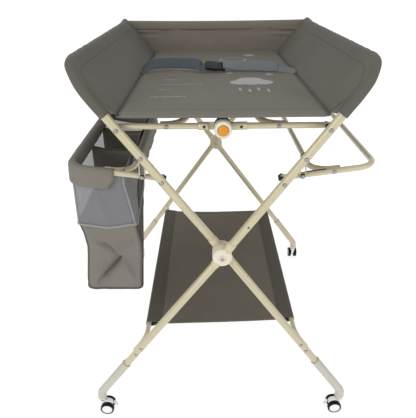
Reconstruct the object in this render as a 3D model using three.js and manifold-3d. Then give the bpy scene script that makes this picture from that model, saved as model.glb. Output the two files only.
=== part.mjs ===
// Folding changing table on casters. Two U-shaped leg frames cross at a pivot on the front and on the rear.
// A padded bed with raised fabric sides hangs between their top tubes, a hinged crossbar at each end holds
// the frames open, a rail swings out on each side, the left one with a fabric basket, and a cloth shelf
// joins the lower legs.
// Millimetres. +X is the right-hand side, +Y the rear, +Z up. The origin is on the floor under the centre.
import * as THREE from "three";
import { mergeVertices } from "three/addons/utils/BufferGeometryUtils.js";
import Module from "manifold-3d";

const wasm = await Module();
wasm.setup();

// ---- Driving dimensions ----
const PIVOT_HEIGHT = 533.5; // of the crossing of the legs
const LEG_ANGLE = THREE.MathUtils.degToRad(54); // of a leg above the floor, unfolded
const LEG_Y = 388; // leg centre-line to the middle of the table, at its ends
const LEG_DIAMETER = 19;
const RAIL_DIAMETER = 13; // crossbars, side rails and shelf tubes
const UPPER_LENGTH = 524; // crossing to top tube, along the leg
const TOP_BEND = 76;
const FOOT_X = 334; // caster stem to the middle
const ROUND = 12; // sides of a leg tube
const THIN_ROUND = 10; // sides of a thin tube
const TOUCH_GAP = 0.3; // between pieces that touch
const RUNNING_GAP = 0.3; // round a pin that turns

// hub sockets
const HUB_DIAMETER = 45;
const SOCKET_WALL = 2.3;
const SOCKET_DIAMETER = LEG_DIAMETER + 2 * SOCKET_WALL;
const SOCKET_CLEARANCE = 1.7; // each socket to the plane where the two frames meet
const PIVOT_SPREAD = SOCKET_DIAMETER / 2 + SOCKET_CLEARANCE; // of a leg off its line, at the crossing
const SOCKET_REACH = 46;
const SOCKET_FLOOR = 25; // where a leg ends inside its socket
const HUB_BOLT = 8;
const HUB_BOLT_HEAD = 15;
const HUB_BOLT_HEAD_HEIGHT = 3;
const HUB_CLEARANCE = 1.2; // between the two hub discs of one end

// foot elbows and casters
const ELBOW_START = 430; // along the lower leg
const ELBOW_WALL = 2.5;
const ELBOW_DIAMETER = LEG_DIAMETER + 2 * ELBOW_WALL;
const ELBOW_BEND = 26;
const LEG_IN_ELBOW = 542; // where the lower leg ends inside its elbow
const STEM_DIAMETER = 8;
const WHEEL_DIAMETER = 38;
const FORK_ABOVE_WHEEL = 5;
const CASTER_NECK = 16; // wheel top to the elbow's mouth
const ELBOW_END_Z = WHEEL_DIAMETER + CASTER_NECK;
const STEM_IN_ELBOW = 22;
const STEM_TOP_Z = ELBOW_END_Z + STEM_IN_ELBOW;
const WHEEL_WIDTH = 11.5;
const WHEEL_TRAIL = 12;
const FORK_WIDTH = 10.6;
const AXLE_DIAMETER = 6;
const BRAKE_PIVOT = [31.2, 31]; // along the caster and up
const BRAKE_WIDTH = 7;

// side rails and their links
const RAIL_ON_LEG = 223; // crossing to rail rivet, along the leg
const LINK_ON_LEG = 293; // crossing to link rivet, along the leg
const RAIL_TILT = THREE.MathUtils.degToRad(7.5);
const RAIL_REACH = 205; // rail rivet to the outer run
const RAIL_TAIL = 7.5; // rail end past its rivet
const RAIL_BEND = 38;
const LINK_ON_RAIL = 44;
const RAIL_TUBE_AT = 68; // the rail's own cross tube, from the rivet
const RAIL_TUBE_LAP = 62;
const LINK_THICKNESS = 2.8;
const LINK_PLAY = 0.75; // both sides of the link together
const LINK_WIRE = 3.5;
const LINK_SLOT = 8.6;
const PIN_DIAMETER = 4.4;
const PIN_HOLE = PIN_DIAMETER + 2 * RUNNING_GAP;
const RIVET_HEAD = 10;
const SCREW_HEAD = 9;
const SCREW_HEAD_HEIGHT = 3;
const SPACER_DIAMETER = 11;

// crossbar that holds the frames open
const CROSSBAR_ON_LEG = 369; // crossing to crossbar rivet, along the leg
// crossbars and rails run inboard of the legs, with room for a link beside the inner leg
const LEG_IN_AT_LINK = PIVOT_SPREAD * (1 - LINK_ON_LEG / UPPER_LENGTH);
const LINK_ROOM = LINK_THICKNESS + LINK_PLAY;
const INNER_Y = LEG_Y - LEG_IN_AT_LINK - (LEG_DIAMETER + RAIL_DIAMETER) / 2 - LINK_ROOM;
const HINGE_DIAMETER = 36.5;
const HINGE_PIN = 9;
const HINGE_FRONT_Y = INNER_Y + 34.5;
const HINGE_BACK_Y = INNER_Y - 14.5;
const BUTTON_DIAMETER = 22;
const BUTTON_FRONT_Y = HINGE_FRONT_Y + 3;
const BUTTON_FLOOR_Y = HINGE_FRONT_Y - 12;
const KNUCKLE_SLEEVE = 17;
const KNUCKLE_REACH = 51;
const KNUCKLE_SOLID = 30; // the half-round stretch next to the hinge
const CROSS_TUBE_X = 76;
const CROSS_TUBE_RISE = 14; // bed support above the crossbar
const CROSS_TUBE_RAMP = 110; // length over which it rises
const CROSS_TUBE_BEND = 45;
const CROSS_TUBE_LAP = 55; // beside the crossbar

// bed, sides and straps
const BED_HALF_WIDTH = 210;
const BED_FRONT_Y = -LEG_Y;
const BED_REAR_Y = LEG_Y + 10;
const BED_BOTTOM_Z = 854.5;
const BED_TOP_Z = 868;
const BED_FOLD_GAP = 2;
const WING_THICKNESS = 4;
const WING_START = 397; // along the leg
const WING_START_OFF = 20; // off the leg's centre-line, towards the bed
const WING_TOP_OFF = LEG_DIAMETER / 2 + 0.5;
const WING_TOP = UPPER_LENGTH + 2;
const WING_HALF_LENGTH = LEG_Y - 2;
const PANEL_Y = LEG_Y + LEG_DIAMETER / 2 + 3.5;
const PANEL_THICKNESS = 4;
const PANEL_BOTTOM_Z = 856;
const PANEL_ABOVE_TUBE = 8.575; // its top edge over the top tubes' centre-line
const PANEL_TOP_Z = PIVOT_HEIGHT + UPPER_LENGTH * Math.sin(LEG_ANGLE) + PANEL_ABOVE_TUBE;
const PANEL_BOTTOM_HALF = 213;
const PANEL_PAST_TUBE = 10;
const PANEL_TOP_HALF = UPPER_LENGTH * Math.cos(LEG_ANGLE) + PANEL_PAST_TUBE;
const STRAP_WIDTH = 28;
const STRAP_Y = 10;
const STRAP_THICKNESS = 2;
const STRAP_RISE = 18; // above the bed
const BUCKLE_LEFT = -32;
const BUCKLE_LENGTH = 34;
const BUCKLE_WIDTH = 36;
const BUCKLE_THICKNESS = 10;
const TONGUE_LENGTH = 16;
const PRONG_LENGTH = 18;

// shelf
const SHELF_HEIGHT = 264;
const SHELF_BEND = 25;
const SHELF_LAP_END = 392; // end of the shelf tube, along the lower leg
const SHELF_CLOTH_HALF_Y = LEG_Y - 63;
const SHELF_CLOTH_THICKNESS = 4;
const SHELF_SCREWS = [356, 381]; // along the lower leg

// basket
const BASKET_REAR_Y = 105;
const BASKET_HEIGHT = 322;
const BASKET_WALL = 4;
const BASKET_DIVIDERS = [-155, -17];
const BASKET_BELOW_RAIL = 8; // its rim below the outer run's centre-line

const LEG_RUN = Math.cos(LEG_ANGLE);
const LEG_RISE = Math.sin(LEG_ANGLE);
const CROSSBAR_Z = PIVOT_HEIGHT + CROSSBAR_ON_LEG * LEG_RISE;
const CROSSBAR_X = CROSSBAR_ON_LEG * LEG_RUN;
const FOOT_ON_LEG = FOOT_X / LEG_RUN;
const FRONT = -1;
const REAR = 1;

// Outer frame: its legs are outermost at the crossing, and its top tube is on the right.
const OUTER = { name: "outer_frame", side: 1, spread: PIVOT_SPREAD };
const INNER = { name: "inner_frame", side: -1, spread: -PIVOT_SPREAD };

const FINISH = {
  tube: { color: 0xc8be9b, roughness: 0.45, metalness: 0.3 },
  plastic: { color: 0xe6dfca, roughness: 0.5, metalness: 0 },
  darkPlastic: { color: 0x1b1b1c, roughness: 0.5, metalness: 0 },
  whitePlastic: { color: 0xf2f2f0, roughness: 0.4, metalness: 0 },
  steel: { color: 0xb9bbbd, roughness: 0.3, metalness: 0.9 },
  orange: { color: 0xe8941c, roughness: 0.4, metalness: 0 },
  rubber: { color: 0x161617, roughness: 0.8, metalness: 0 },
  cloth: { color: 0x80796f, roughness: 0.95, metalness: 0 },
  webbing: { color: 0x70767c, roughness: 0.9, metalness: 0 },
};

const table = new THREE.Group();

// ---- Shape helpers ----

// A path through chosen points: each section of a tube stands on one of them.
class Route extends THREE.Curve {
  constructor(points) {
    super();
    this.points = points;
  }

  getPoint(t) {
    const at = t * (this.points.length - 1);
    const i = Math.min(Math.floor(at), this.points.length - 2);
    return this.points[i].clone().lerp(this.points[i + 1], at - i);
  }

  getPointAt(u) {
    return this.getPoint(u);
  }

  getSpacedPoints() {
    return this.points.map((point) => point.clone());
  }

  getTangentAt(u) {
    const i = Math.round(u * (this.points.length - 1));
    const before = this.points[Math.max(i - 1, 0)];
    const here = this.points[i];
    const after = this.points[Math.min(i + 1, this.points.length - 1)];
    const arriving = here.clone().sub(before).normalize();
    const leaving = after.clone().sub(here).normalize();
    return arriving.add(leaving).normalize();
  }
}

const vec = (x, y, z) => new THREE.Vector3(x, y, z);

// Corners with a radius become arcs, in steps of about 15 degrees.
function rounded(corners, radii) {
  const points = [];
  corners.forEach((corner, i) => {
    const radius = radii[i] ?? 0;
    if (!radius) {
      points.push(corner);
      return;
    }
    const arriving = corner.clone().sub(corners[i - 1]).normalize();
    const leaving = corners[i + 1].clone().sub(corner).normalize();
    const angle = arriving.angleTo(leaving);
    const start = corner.clone().addScaledVector(arriving, -radius * Math.tan(angle / 2));
    const inwards = leaving.clone().addScaledVector(arriving, -Math.cos(angle)).normalize();
    const centre = start.clone().addScaledVector(inwards, radius);
    const steps = Math.max(2, Math.ceil(angle / THREE.MathUtils.degToRad(15)));
    for (let k = 0; k <= steps; k++) {
      const turn = (angle * k) / steps;
      points.push(
        centre
          .clone()
          .addScaledVector(inwards, -radius * Math.cos(turn))
          .addScaledVector(arriving, radius * Math.sin(turn)),
      );
    }
  });
  return points;
}

// A round bar along a path.
function bar(points, diameter, sides = ROUND) {
  const outline = [];
  for (let i = 0; i < sides; i++) {
    const angle = (2 * Math.PI * i) / sides;
    outline.push(new THREE.Vector2(Math.cos(angle), Math.sin(angle)).multiplyScalar(diameter / 2));
  }
  return new THREE.ExtrudeGeometry(new THREE.Shape(outline), {
    steps: points.length - 1,
    extrudePath: new Route(points),
  });
}

// A round rod along Y.
function rod(diameter, x, z, yFrom, yTo, sides = ROUND) {
  const length = Math.abs(yTo - yFrom);
  const shape = new THREE.CylinderGeometry(diameter / 2, diameter / 2, length, sides);
  return shape.translate(x, (yFrom + yTo) / 2, z);
}

// An upright round rod.
function post(diameter, x, y, zFrom, zTo, sides = ROUND) {
  const shape = new THREE.CylinderGeometry(diameter / 2, diameter / 2, zTo - zFrom, sides);
  return shape.rotateX(Math.PI / 2).translate(x, y, (zFrom + zTo) / 2);
}

// An outline in XZ, extruded along Y. The outline runs anticlockwise seen from the front.
function plateXZ(outline, yFrom, yTo) {
  const shape = new THREE.Shape(outline.map(([x, z]) => new THREE.Vector2(x, z)));
  const solid = new THREE.ExtrudeGeometry(shape, { depth: yTo - yFrom, bevelEnabled: false });
  return solid.rotateX(Math.PI / 2).translate(0, yTo, 0);
}

// An outline in XY, extruded upwards.
function plateXY(outline, zFrom, zTo) {
  const solid = new THREE.ExtrudeGeometry(outline, {
    depth: zTo - zFrom,
    bevelEnabled: false,
    curveSegments: 4,
  });
  return solid.translate(0, 0, zFrom);
}

const box = (x0, y0, z0, x1, y1, z1) =>
  new THREE.BoxGeometry(x1 - x0, y1 - y0, z1 - z0).translate((x0 + x1) / 2, (y0 + y1) / 2, (z0 + z1) / 2);

function solidOf(geometry) {
  const plain = geometry.clone();
  plain.deleteAttribute("normal");
  plain.deleteAttribute("uv");
  const merged = mergeVertices(plain, 1e-4);
  return new wasm.Manifold(
    new wasm.Mesh({
      numProp: 3,
      vertProperties: merged.attributes.position.array,
      triVerts: new Uint32Array(merged.index.array),
    }),
  );
}

function geometryOf(solid) {
  const mesh = solid.getMesh();
  return new THREE.BufferGeometry()
    .setAttribute("position", new THREE.BufferAttribute(new Float32Array(mesh.vertProperties), 3))
    .setIndex(new THREE.BufferAttribute(new Uint32Array(mesh.triVerts), 1));
}

// Pieces welded into one, with holes cut out of the whole.
function welded(pieces, holes = []) {
  let whole = solidOf(pieces[0]);
  pieces.slice(1).forEach((piece) => {
    whole = whole.add(solidOf(piece));
  });
  holes.forEach((hole) => {
    whole = whole.subtract(solidOf(hole));
  });
  return geometryOf(whole);
}

// Adds a named mesh. A mirrored one is the rear copy of a front piece.
function add(name, geometry, finish, mirrored = false) {
  const material = new THREE.MeshStandardMaterial(FINISH[finish]);
  const mesh = new THREE.Mesh(geometry, material);
  mesh.name = name;
  if (mirrored) mesh.scale.y = -1;
  table.add(mesh);
  return mesh;
}

// ---- Legs ----

// A point on the centre-line of a leg, at a distance along it from the crossing.
function onUpperLeg(frame, along, end) {
  const y = LEG_Y + frame.spread * (1 - along / UPPER_LENGTH);
  return vec(frame.side * along * LEG_RUN, end * y, PIVOT_HEIGHT + along * LEG_RISE);
}

function onLowerLeg(frame, along, end) {
  const y = LEG_Y + frame.spread * (1 - along / FOOT_ON_LEG);
  return vec(-frame.side * along * LEG_RUN, end * y, PIVOT_HEIGHT - along * LEG_RISE);
}

// A rivet head on the outer face of a leg.
function rivetHead(point, end, diameter = RIVET_HEAD) {
  const head = new THREE.SphereGeometry(diameter / 2, THIN_ROUND, 6).scale(1, 0.5, 1);
  return head.translate(point.x, point.y + (end * LEG_DIAMETER) / 2, point.z);
}

// A rivet through a leg that reaches inboard, with a spacer as far as the piece it holds.
function rivet(point, end, spacerTo, pinTo) {
  const start = point.y;
  const pin = rod(PIN_DIAMETER, point.x, point.z, start, end * pinTo, THIN_ROUND);
  const pieces = [rivetHead(point, end), pin];
  if (spacerTo < Math.abs(start) - LEG_DIAMETER / 2) {
    pieces.push(rod(SPACER_DIAMETER, point.x, point.z, start, end * spacerTo, THIN_ROUND));
  }
  return pieces;
}

const tubeFace = INNER_Y + RAIL_DIAMETER / 2; // the outer face of crossbars and rails
const linkOuterY = tubeFace + TOUCH_GAP + LINK_THICKNESS;

function topTube(frame) {
  const corners = [
    onUpperLeg(frame, SOCKET_FLOOR, FRONT),
    onUpperLeg(frame, UPPER_LENGTH, FRONT),
    onUpperLeg(frame, UPPER_LENGTH, REAR),
    onUpperLeg(frame, SOCKET_FLOOR, REAR),
  ];
  const pieces = [bar(rounded(corners, [0, TOP_BEND, TOP_BEND, 0]), LEG_DIAMETER)];
  const inboard = INNER_Y - RAIL_DIAMETER / 2 - 2;
  [FRONT, REAR].forEach((end) => {
    const atCrossbar = onUpperLeg(frame, CROSSBAR_ON_LEG, end);
    const legFace = Math.abs(atCrossbar.y) - LEG_DIAMETER / 2;
    const held = frame === OUTER; // the crossbar's other end is the fold's free pivot
    const reach = held ? inboard : legFace - 1;
    pieces.push(...rivet(atCrossbar, end, held ? tubeFace + TOUCH_GAP : legFace, reach));
    pieces.push(...rivet(onUpperLeg(frame, RAIL_ON_LEG, end), end, tubeFace + TOUCH_GAP, inboard));
    // the link's rivet ends flush with the link, clear of the crossbar that folds past it
    const atLink = onUpperLeg(frame, LINK_ON_LEG, end);
    pieces.push(...rivet(atLink, end, linkOuterY + TOUCH_GAP, tubeFace + TOUCH_GAP));
  });
  add(frame.name + "_top_tube", welded(pieces), "tube");
}

function lowerLeg(frame, end, endName) {
  const ends = [onLowerLeg(frame, SOCKET_FLOOR, end), onLowerLeg(frame, LEG_IN_ELBOW, end)];
  const pieces = [bar(ends, LEG_DIAMETER)];
  SHELF_SCREWS.forEach((along) => {
    pieces.push(rivetHead(onLowerLeg(frame, along, end), end, SCREW_HEAD));
  });
  add(`${frame.name}_lower_leg_${endName}`, welded(pieces), "tube");
}

// The moulded disc at the crossing, with a socket up and a socket down the leg.
function hub(frame, end, endName) {
  const middle = LEG_Y + frame.spread;
  const half = PIVOT_SPREAD - HUB_CLEARANCE / 2;
  const outerY = end * (middle + half);
  const innerY = end * (middle - half);
  const up = onUpperLeg(frame, SOCKET_REACH, end);
  const down = onLowerLeg(frame, SOCKET_REACH, end);
  const bore = LEG_DIAMETER + 2 * RUNNING_GAP;
  const pastReach = SOCKET_REACH + 5;
  const whole = welded(
    [rod(HUB_DIAMETER, 0, PIVOT_HEIGHT, innerY, outerY, 24), bar([down, up], SOCKET_DIAMETER, 16)],
    [
      bar([onUpperLeg(frame, SOCKET_FLOOR - TOUCH_GAP, end), onUpperLeg(frame, pastReach, end)], bore, 16),
      bar([onLowerLeg(frame, SOCKET_FLOOR - TOUCH_GAP, end), onLowerLeg(frame, pastReach, end)], bore, 16),
      rod(HUB_BOLT + 2 * RUNNING_GAP, 0, PIVOT_HEIGHT, innerY - end * 5, outerY + end * 5, 16),
    ],
  );
  add(`${frame.name}_hub_${endName}`, whole, "plastic");
}

function hubBolt(end, endName) {
  const reach = 2 * PIVOT_SPREAD - HUB_CLEARANCE / 2 + TOUCH_GAP;
  const outer = LEG_Y + reach;
  const inner = LEG_Y - reach;
  const whole = welded([
    rod(HUB_BOLT, 0, PIVOT_HEIGHT, end * inner, end * outer, 16),
    rod(HUB_BOLT_HEAD, 0, PIVOT_HEIGHT, end * outer, end * (outer + HUB_BOLT_HEAD_HEIGHT), 16),
    rod(HUB_BOLT_HEAD, 0, PIVOT_HEIGHT, end * (inner - HUB_BOLT_HEAD_HEIGHT), end * inner, 16),
  ]);
  add(`pivot_bolt_${endName}`, whole, "steel");
}

// ---- Feet ----

function footElbow(frame, end, name) {
  const corner = onLowerLeg(frame, FOOT_ON_LEG, end);
  const bottom = vec(corner.x, corner.y, ELBOW_END_Z);
  const route = rounded([onLowerLeg(frame, ELBOW_START, end), corner, bottom], [0, ELBOW_BEND, 0]);
  const bore = LEG_DIAMETER + 2 * RUNNING_GAP;
  const tubeEnds = [ELBOW_START - 5, LEG_IN_ELBOW + TOUCH_GAP];
  const tubeSpace = tubeEnds.map((along) => onLowerLeg(frame, along, end));
  const whole = welded(
    [bar(route, ELBOW_DIAMETER, 16)],
    [
      bar(tubeSpace, bore, 16),
      post(STEM_DIAMETER + 2 * RUNNING_GAP, corner.x, corner.y, ELBOW_END_Z - 5, STEM_TOP_Z + TOUCH_GAP, 16),
    ],
  );
  add(`foot_elbow_${name}`, whole, "plastic");
}

// Twin wheels on one axle: a body of revolution about Y.
function wheelSet() {
  const radius = WHEEL_DIAMETER / 2;
  const inner = FORK_WIDTH / 2 + TOUCH_GAP + 0.3;
  const outer = inner + WHEEL_WIDTH;
  const edge = 2.5;
  const wheel = [
    [12.5, outer - 1.2],
    [14, outer],
    [radius - edge, outer],
    [radius, outer - edge],
    [radius, inner + 1.5],
    [radius - 1.5, inner],
    [AXLE_DIAMETER / 2, inner],
  ];
  const half = [[0, outer - 1.2], ...wheel];
  const other = half.map(([r, y]) => [r, -y]).reverse();
  const profile = [...half, ...other].map(([r, y]) => new THREE.Vector2(r, y)).reverse();
  return new THREE.LatheGeometry(profile, 20);
}

function casterFork(braked) {
  const axleZ = WHEEL_DIAMETER / 2;
  const top = WHEEL_DIAMETER + FORK_ABOVE_WHEEL;
  const outline = [
    [-9, top],
    [-7, top - 7],
    [-2, 24],
    [2, 12],
    [9, 7],
    [17, 8],
    [24, 14],
    [27.4, 24],
    [27.4, top - 8],
    [22, top - 3],
    [9, top],
  ];
  const half = FORK_WIDTH / 2;
  const pieces = [
    plateXZ(outline, -half, half),
    post(19, 0, 0, top - 1, ELBOW_END_Z - TOUCH_GAP - 0.7, 16),
    post(STEM_DIAMETER, 0, 0, top + 2, STEM_TOP_Z, 16),
  ];
  const holes = [rod(AXLE_DIAMETER + 2 * RUNNING_GAP, WHEEL_TRAIL, axleZ, -20, 20, 16)];
  if (braked) {
    const [px, pz] = BRAKE_PIVOT;
    const ear = [
      [px - 6, pz - 4],
      [px + 1, pz - 3.4],
      [px + 3.6, pz],
      [px + 1, pz + 3.4],
      [px - 6, pz + 4],
    ];
    pieces.push(plateXZ(ear, -half, half));
    const slotHalf = BRAKE_WIDTH / 2 + TOUCH_GAP;
    holes.push(box(px - 3.8, -slotHalf, pz - 8, px + 8, slotHalf, pz + 8));
    holes.push(rod(2 + 2 * RUNNING_GAP, px, pz, -half - 5, half + 5, THIN_ROUND));
  }
  return welded(pieces, holes);
}

function brakeLever() {
  const [px, pz] = BRAKE_PIVOT;
  const half = BRAKE_WIDTH / 2;
  const tab = [
    [px - 1.5, pz + 1],
    [px - 0.5, pz - 2.4],
    [px + 7, pz - 11],
    [px + 10, pz - 11],
    [px + 10, pz - 8.5],
    [px + 2, pz + 1.5],
  ];
  const pieces = [rod(5.6, px, pz, -half, half, THIN_ROUND), plateXZ(tab, -half, half)];
  pieces.push(rod(2, px, pz, -FORK_WIDTH / 2, FORK_WIDTH / 2, THIN_ROUND));
  return welded(pieces);
}

// A caster is turned about its stem, and its wheels trail along its own +X.
function caster(name, x, y, heading, braked) {
  const group = new THREE.Group();
  group.position.set(x, y, 0);
  group.rotation.z = heading;
  const fork = add("caster_fork_" + name, casterFork(braked), "whitePlastic");
  const wheels = add("caster_wheels_" + name, wheelSet(), "rubber");
  wheels.position.set(WHEEL_TRAIL, 0, WHEEL_DIAMETER / 2);
  group.add(fork, wheels);
  if (braked) group.add(add("caster_brake_" + name, brakeLever(), "whitePlastic"));
  table.add(group);
}

// ---- Crossbars ----

// Everything here is the front one. The rear one is its mirror image.
function knuckle(side) {
  const front = side > 0; // the right-hand knuckle is the front one of the two
  const sleeveRadius = KNUCKLE_SLEEVE / 2;
  const at = (distance) => vec(side * distance, -INNER_Y, CROSSBAR_Z);
  const layer = front
    ? [-(HINGE_FRONT_Y - 24.5), -(INNER_Y + TOUCH_GAP)]
    : [-(INNER_Y - TOUCH_GAP), -(HINGE_BACK_Y + 6)];
  const cutFrom = front ? -(INNER_Y + TOUCH_GAP) : -(INNER_Y + 20);
  const cutTo = front ? -(INNER_Y - 20) : -(INNER_Y - TOUCH_GAP);
  const sleeve = solidOf(bar([at(8), at(KNUCKLE_REACH)], KNUCKLE_SLEEVE, 16));
  const [x0, x1] = side > 0 ? [-1, KNUCKLE_SOLID] : [-KNUCKLE_SOLID, 1];
  const halfHeight = sleeveRadius + 1;
  const otherLayer = box(x0, cutFrom, CROSSBAR_Z - halfHeight, x1, cutTo, CROSSBAR_Z + halfHeight);
  const pieces = [
    geometryOf(sleeve.subtract(solidOf(otherLayer))),
    rod(HINGE_DIAMETER, 0, CROSSBAR_Z, layer[0], layer[1], 24),
  ];
  return welded(pieces, [
    bar([at(KNUCKLE_SOLID), at(KNUCKLE_REACH + 5)], RAIL_DIAMETER + 2 * RUNNING_GAP, 16),
    rod(HINGE_PIN + 2 * RUNNING_GAP, 0, CROSSBAR_Z, -HINGE_FRONT_Y, -(HINGE_BACK_Y - 5), 16),
  ]);
}

function hingeHousing(withButton) {
  const faceY = -(HINGE_FRONT_Y - 24.5) - TOUCH_GAP;
  const backY = -(HINGE_BACK_Y + 6) + TOUCH_GAP;
  const pieces = [
    rod(HINGE_DIAMETER, 0, CROSSBAR_Z, -HINGE_FRONT_Y, faceY, 24),
    rod(HINGE_PIN, 0, CROSSBAR_Z, faceY - 2, backY + 2, 16),
    rod(28, 0, CROSSBAR_Z, backY, -HINGE_BACK_Y, 24),
  ];
  const holeDiameter = BUTTON_DIAMETER + 2 * RUNNING_GAP;
  const hole = rod(holeDiameter, 0, CROSSBAR_Z, -HINGE_FRONT_Y - 5, -BUTTON_FLOOR_Y, 24);
  return welded(pieces, withButton ? [hole] : []);
}

function releaseButton() {
  const travel = 4;
  const crown = new THREE.SphereGeometry(BUTTON_DIAMETER / 2, 20, 8).scale(1, 0.16, 1);
  crown.translate(0, -BUTTON_FRONT_Y + 1.5, CROSSBAR_Z);
  const stemEnd = -BUTTON_FLOOR_Y - travel - 0.5;
  const stem = rod(BUTTON_DIAMETER, 0, CROSSBAR_Z, -BUTTON_FRONT_Y + 1.5, stemEnd, 20);
  return welded([stem, crown]);
}

function crossbarTube(side) {
  const at = (distance) => vec(side * distance, -INNER_Y, CROSSBAR_Z);
  const tube = bar([at(KNUCKLE_SOLID + TOUCH_GAP), at(CROSSBAR_X + RAIL_TAIL)], RAIL_DIAMETER, THIN_ROUND);
  const hole = rod(PIN_HOLE, side * CROSSBAR_X, CROSSBAR_Z, -INNER_Y - 20, -INNER_Y + 20, THIN_ROUND);
  return welded([tube], [hole]);
}

// The tube under the bed: beside the front bar, round a bend, up a little, and the same at the rear.
function bedSupport(side) {
  const lapY = INNER_Y - RAIL_DIAMETER - 2 * TOUCH_GAP;
  const near = side * CROSS_TUBE_X;
  const far = side * (CROSS_TUBE_X + CROSS_TUBE_LAP);
  const topZ = CROSSBAR_Z + CROSS_TUBE_RISE;
  const rampEnd = lapY - CROSS_TUBE_RAMP;
  const corners = [
    vec(far, -lapY, CROSSBAR_Z),
    vec(near, -lapY, CROSSBAR_Z),
    vec(near, -rampEnd, topZ),
    vec(near, rampEnd, topZ),
    vec(near, lapY, CROSSBAR_Z),
    vec(far, lapY, CROSSBAR_Z),
  ];
  return bar(rounded(corners, [0, CROSS_TUBE_BEND, 60, 60, CROSS_TUBE_BEND, 0]), RAIL_DIAMETER, THIN_ROUND);
}

// ---- Side rails ----

// A point in the plane of a rail, at a distance out from its rivet.
function onRail(side, out, y) {
  const x = RAIL_ON_LEG * LEG_RUN + out * Math.cos(RAIL_TILT);
  const z = PIVOT_HEIGHT + RAIL_ON_LEG * LEG_RISE + out * Math.sin(RAIL_TILT);
  return vec(side * x, y, z);
}

function sideRail(side) {
  const corners = [
    onRail(side, -RAIL_TAIL, -INNER_Y),
    onRail(side, RAIL_REACH, -INNER_Y),
    onRail(side, RAIL_REACH, INNER_Y),
    onRail(side, -RAIL_TAIL, INNER_Y),
  ];
  const pieces = [bar(rounded(corners, [0, RAIL_BEND, RAIL_BEND, 0]), RAIL_DIAMETER, THIN_ROUND)];
  const holes = [];
  const atRivet = onRail(side, 0, 0);
  const atScrew = onRail(side, LINK_ON_RAIL, 0);
  [FRONT, REAR].forEach((end) => {
    const past = linkOuterY + TOUCH_GAP;
    const headTop = past + SCREW_HEAD_HEIGHT;
    holes.push(rod(PIN_HOLE, atRivet.x, atRivet.z, end * (INNER_Y - 20), end * (INNER_Y + 20), THIN_ROUND));
    pieces.push(rod(PIN_DIAMETER, atScrew.x, atScrew.z, end * INNER_Y, end * (past + 1), THIN_ROUND));
    pieces.push(rod(SCREW_HEAD, atScrew.x, atScrew.z, end * past, end * headTop, THIN_ROUND));
  });
  return welded(pieces, holes);
}

function railCrossTube(side) {
  const lapY = INNER_Y - RAIL_DIAMETER - 2 * TOUCH_GAP;
  const far = RAIL_TUBE_AT + RAIL_TUBE_LAP;
  const corners = [
    onRail(side, far, -lapY),
    onRail(side, RAIL_TUBE_AT, -lapY),
    onRail(side, RAIL_TUBE_AT, lapY),
    onRail(side, far, lapY),
  ];
  return bar(rounded(corners, [0, CROSS_TUBE_BEND, CROSS_TUBE_BEND, 0]), RAIL_DIAMETER, THIN_ROUND);
}

// A long ring that holds the rail up: the leg's rivet is in its top and the rail's screw in its bottom.
function link(side) {
  const top = onUpperLeg(OUTER, LINK_ON_LEG, FRONT);
  const bottom = onRail(1, LINK_ON_RAIL, 0);
  const radius = LINK_SLOT / 2;
  const slack = radius - PIN_DIAMETER / 2 - RUNNING_GAP; // the pins stand in the ends of the slot
  const length = Math.hypot(bottom.x - top.x, bottom.z - top.z) - 2 * slack;
  const lean = Math.atan2(bottom.x - top.x, top.z - bottom.z);
  const ring = (r) => {
    const shape = new THREE.Shape();
    shape.absarc(0, 0, r, 0, Math.PI, false);
    shape.absarc(0, -length, r, Math.PI, 2 * Math.PI, false);
    return shape;
  };
  const outer = ring(radius + LINK_WIRE);
  outer.holes.push(ring(radius));
  const solid = new THREE.ExtrudeGeometry(outer, {
    depth: LINK_THICKNESS,
    bevelEnabled: false,
    curveSegments: 8,
  });
  solid.rotateX(Math.PI / 2);
  solid.translate(0, -linkOuterY + LINK_THICKNESS, -slack);
  solid.rotateY(-side * lean);
  solid.translate(side * top.x, 0, top.z);
  return solid;
}

// ---- Shelf ----

function shelfTube(frame) {
  const along = (PIVOT_HEIGHT - SHELF_HEIGHT) / LEG_RISE;
  const x = -frame.side * along * LEG_RUN;
  const legAt = (distance) => onLowerLeg(frame, distance, REAR);
  const legY = Math.min(legAt(SHELF_LAP_END).y, legAt(along).y);
  const lapY = legY - LEG_DIAMETER / 2 - RAIL_DIAMETER / 2 - 2 * TOUCH_GAP;
  const tip = legAt(SHELF_LAP_END);
  const corners = [
    vec(tip.x, -lapY, tip.z),
    vec(x, -lapY, SHELF_HEIGHT),
    vec(x, lapY, SHELF_HEIGHT),
    vec(tip.x, lapY, tip.z),
  ];
  return bar(rounded(corners, [0, SHELF_BEND, SHELF_BEND, 0]), RAIL_DIAMETER, THIN_ROUND);
}

function shelfCloth() {
  const tubeX = ((PIVOT_HEIGHT - SHELF_HEIGHT) / LEG_RISE) * LEG_RUN;
  const halfX = tubeX - RAIL_DIAMETER / 2 - 1;
  const half = SHELF_CLOTH_THICKNESS / 2;
  const endY = SHELF_CLOTH_HALF_Y;
  return box(-halfX, -endY, SHELF_HEIGHT - half, halfX, endY, SHELF_HEIGHT + half);
}

// ---- Bed and sides ----

function bedHalf(side) {
  const inner = BED_FOLD_GAP / 2;
  const [x0, x1] = side > 0 ? [inner, BED_HALF_WIDTH] : [-BED_HALF_WIDTH, -inner];
  const soft = 3; // rounded edge of the pad
  const outline = [
    [x0, BED_BOTTOM_Z],
    [x1, BED_BOTTOM_Z],
    [x1, BED_TOP_Z - soft],
    [x1 - soft, BED_TOP_Z],
    [x0 + soft, BED_TOP_Z],
    [x0, BED_TOP_Z - soft],
  ];
  return plateXZ(outline, BED_FRONT_Y, BED_REAR_Y);
}

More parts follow.
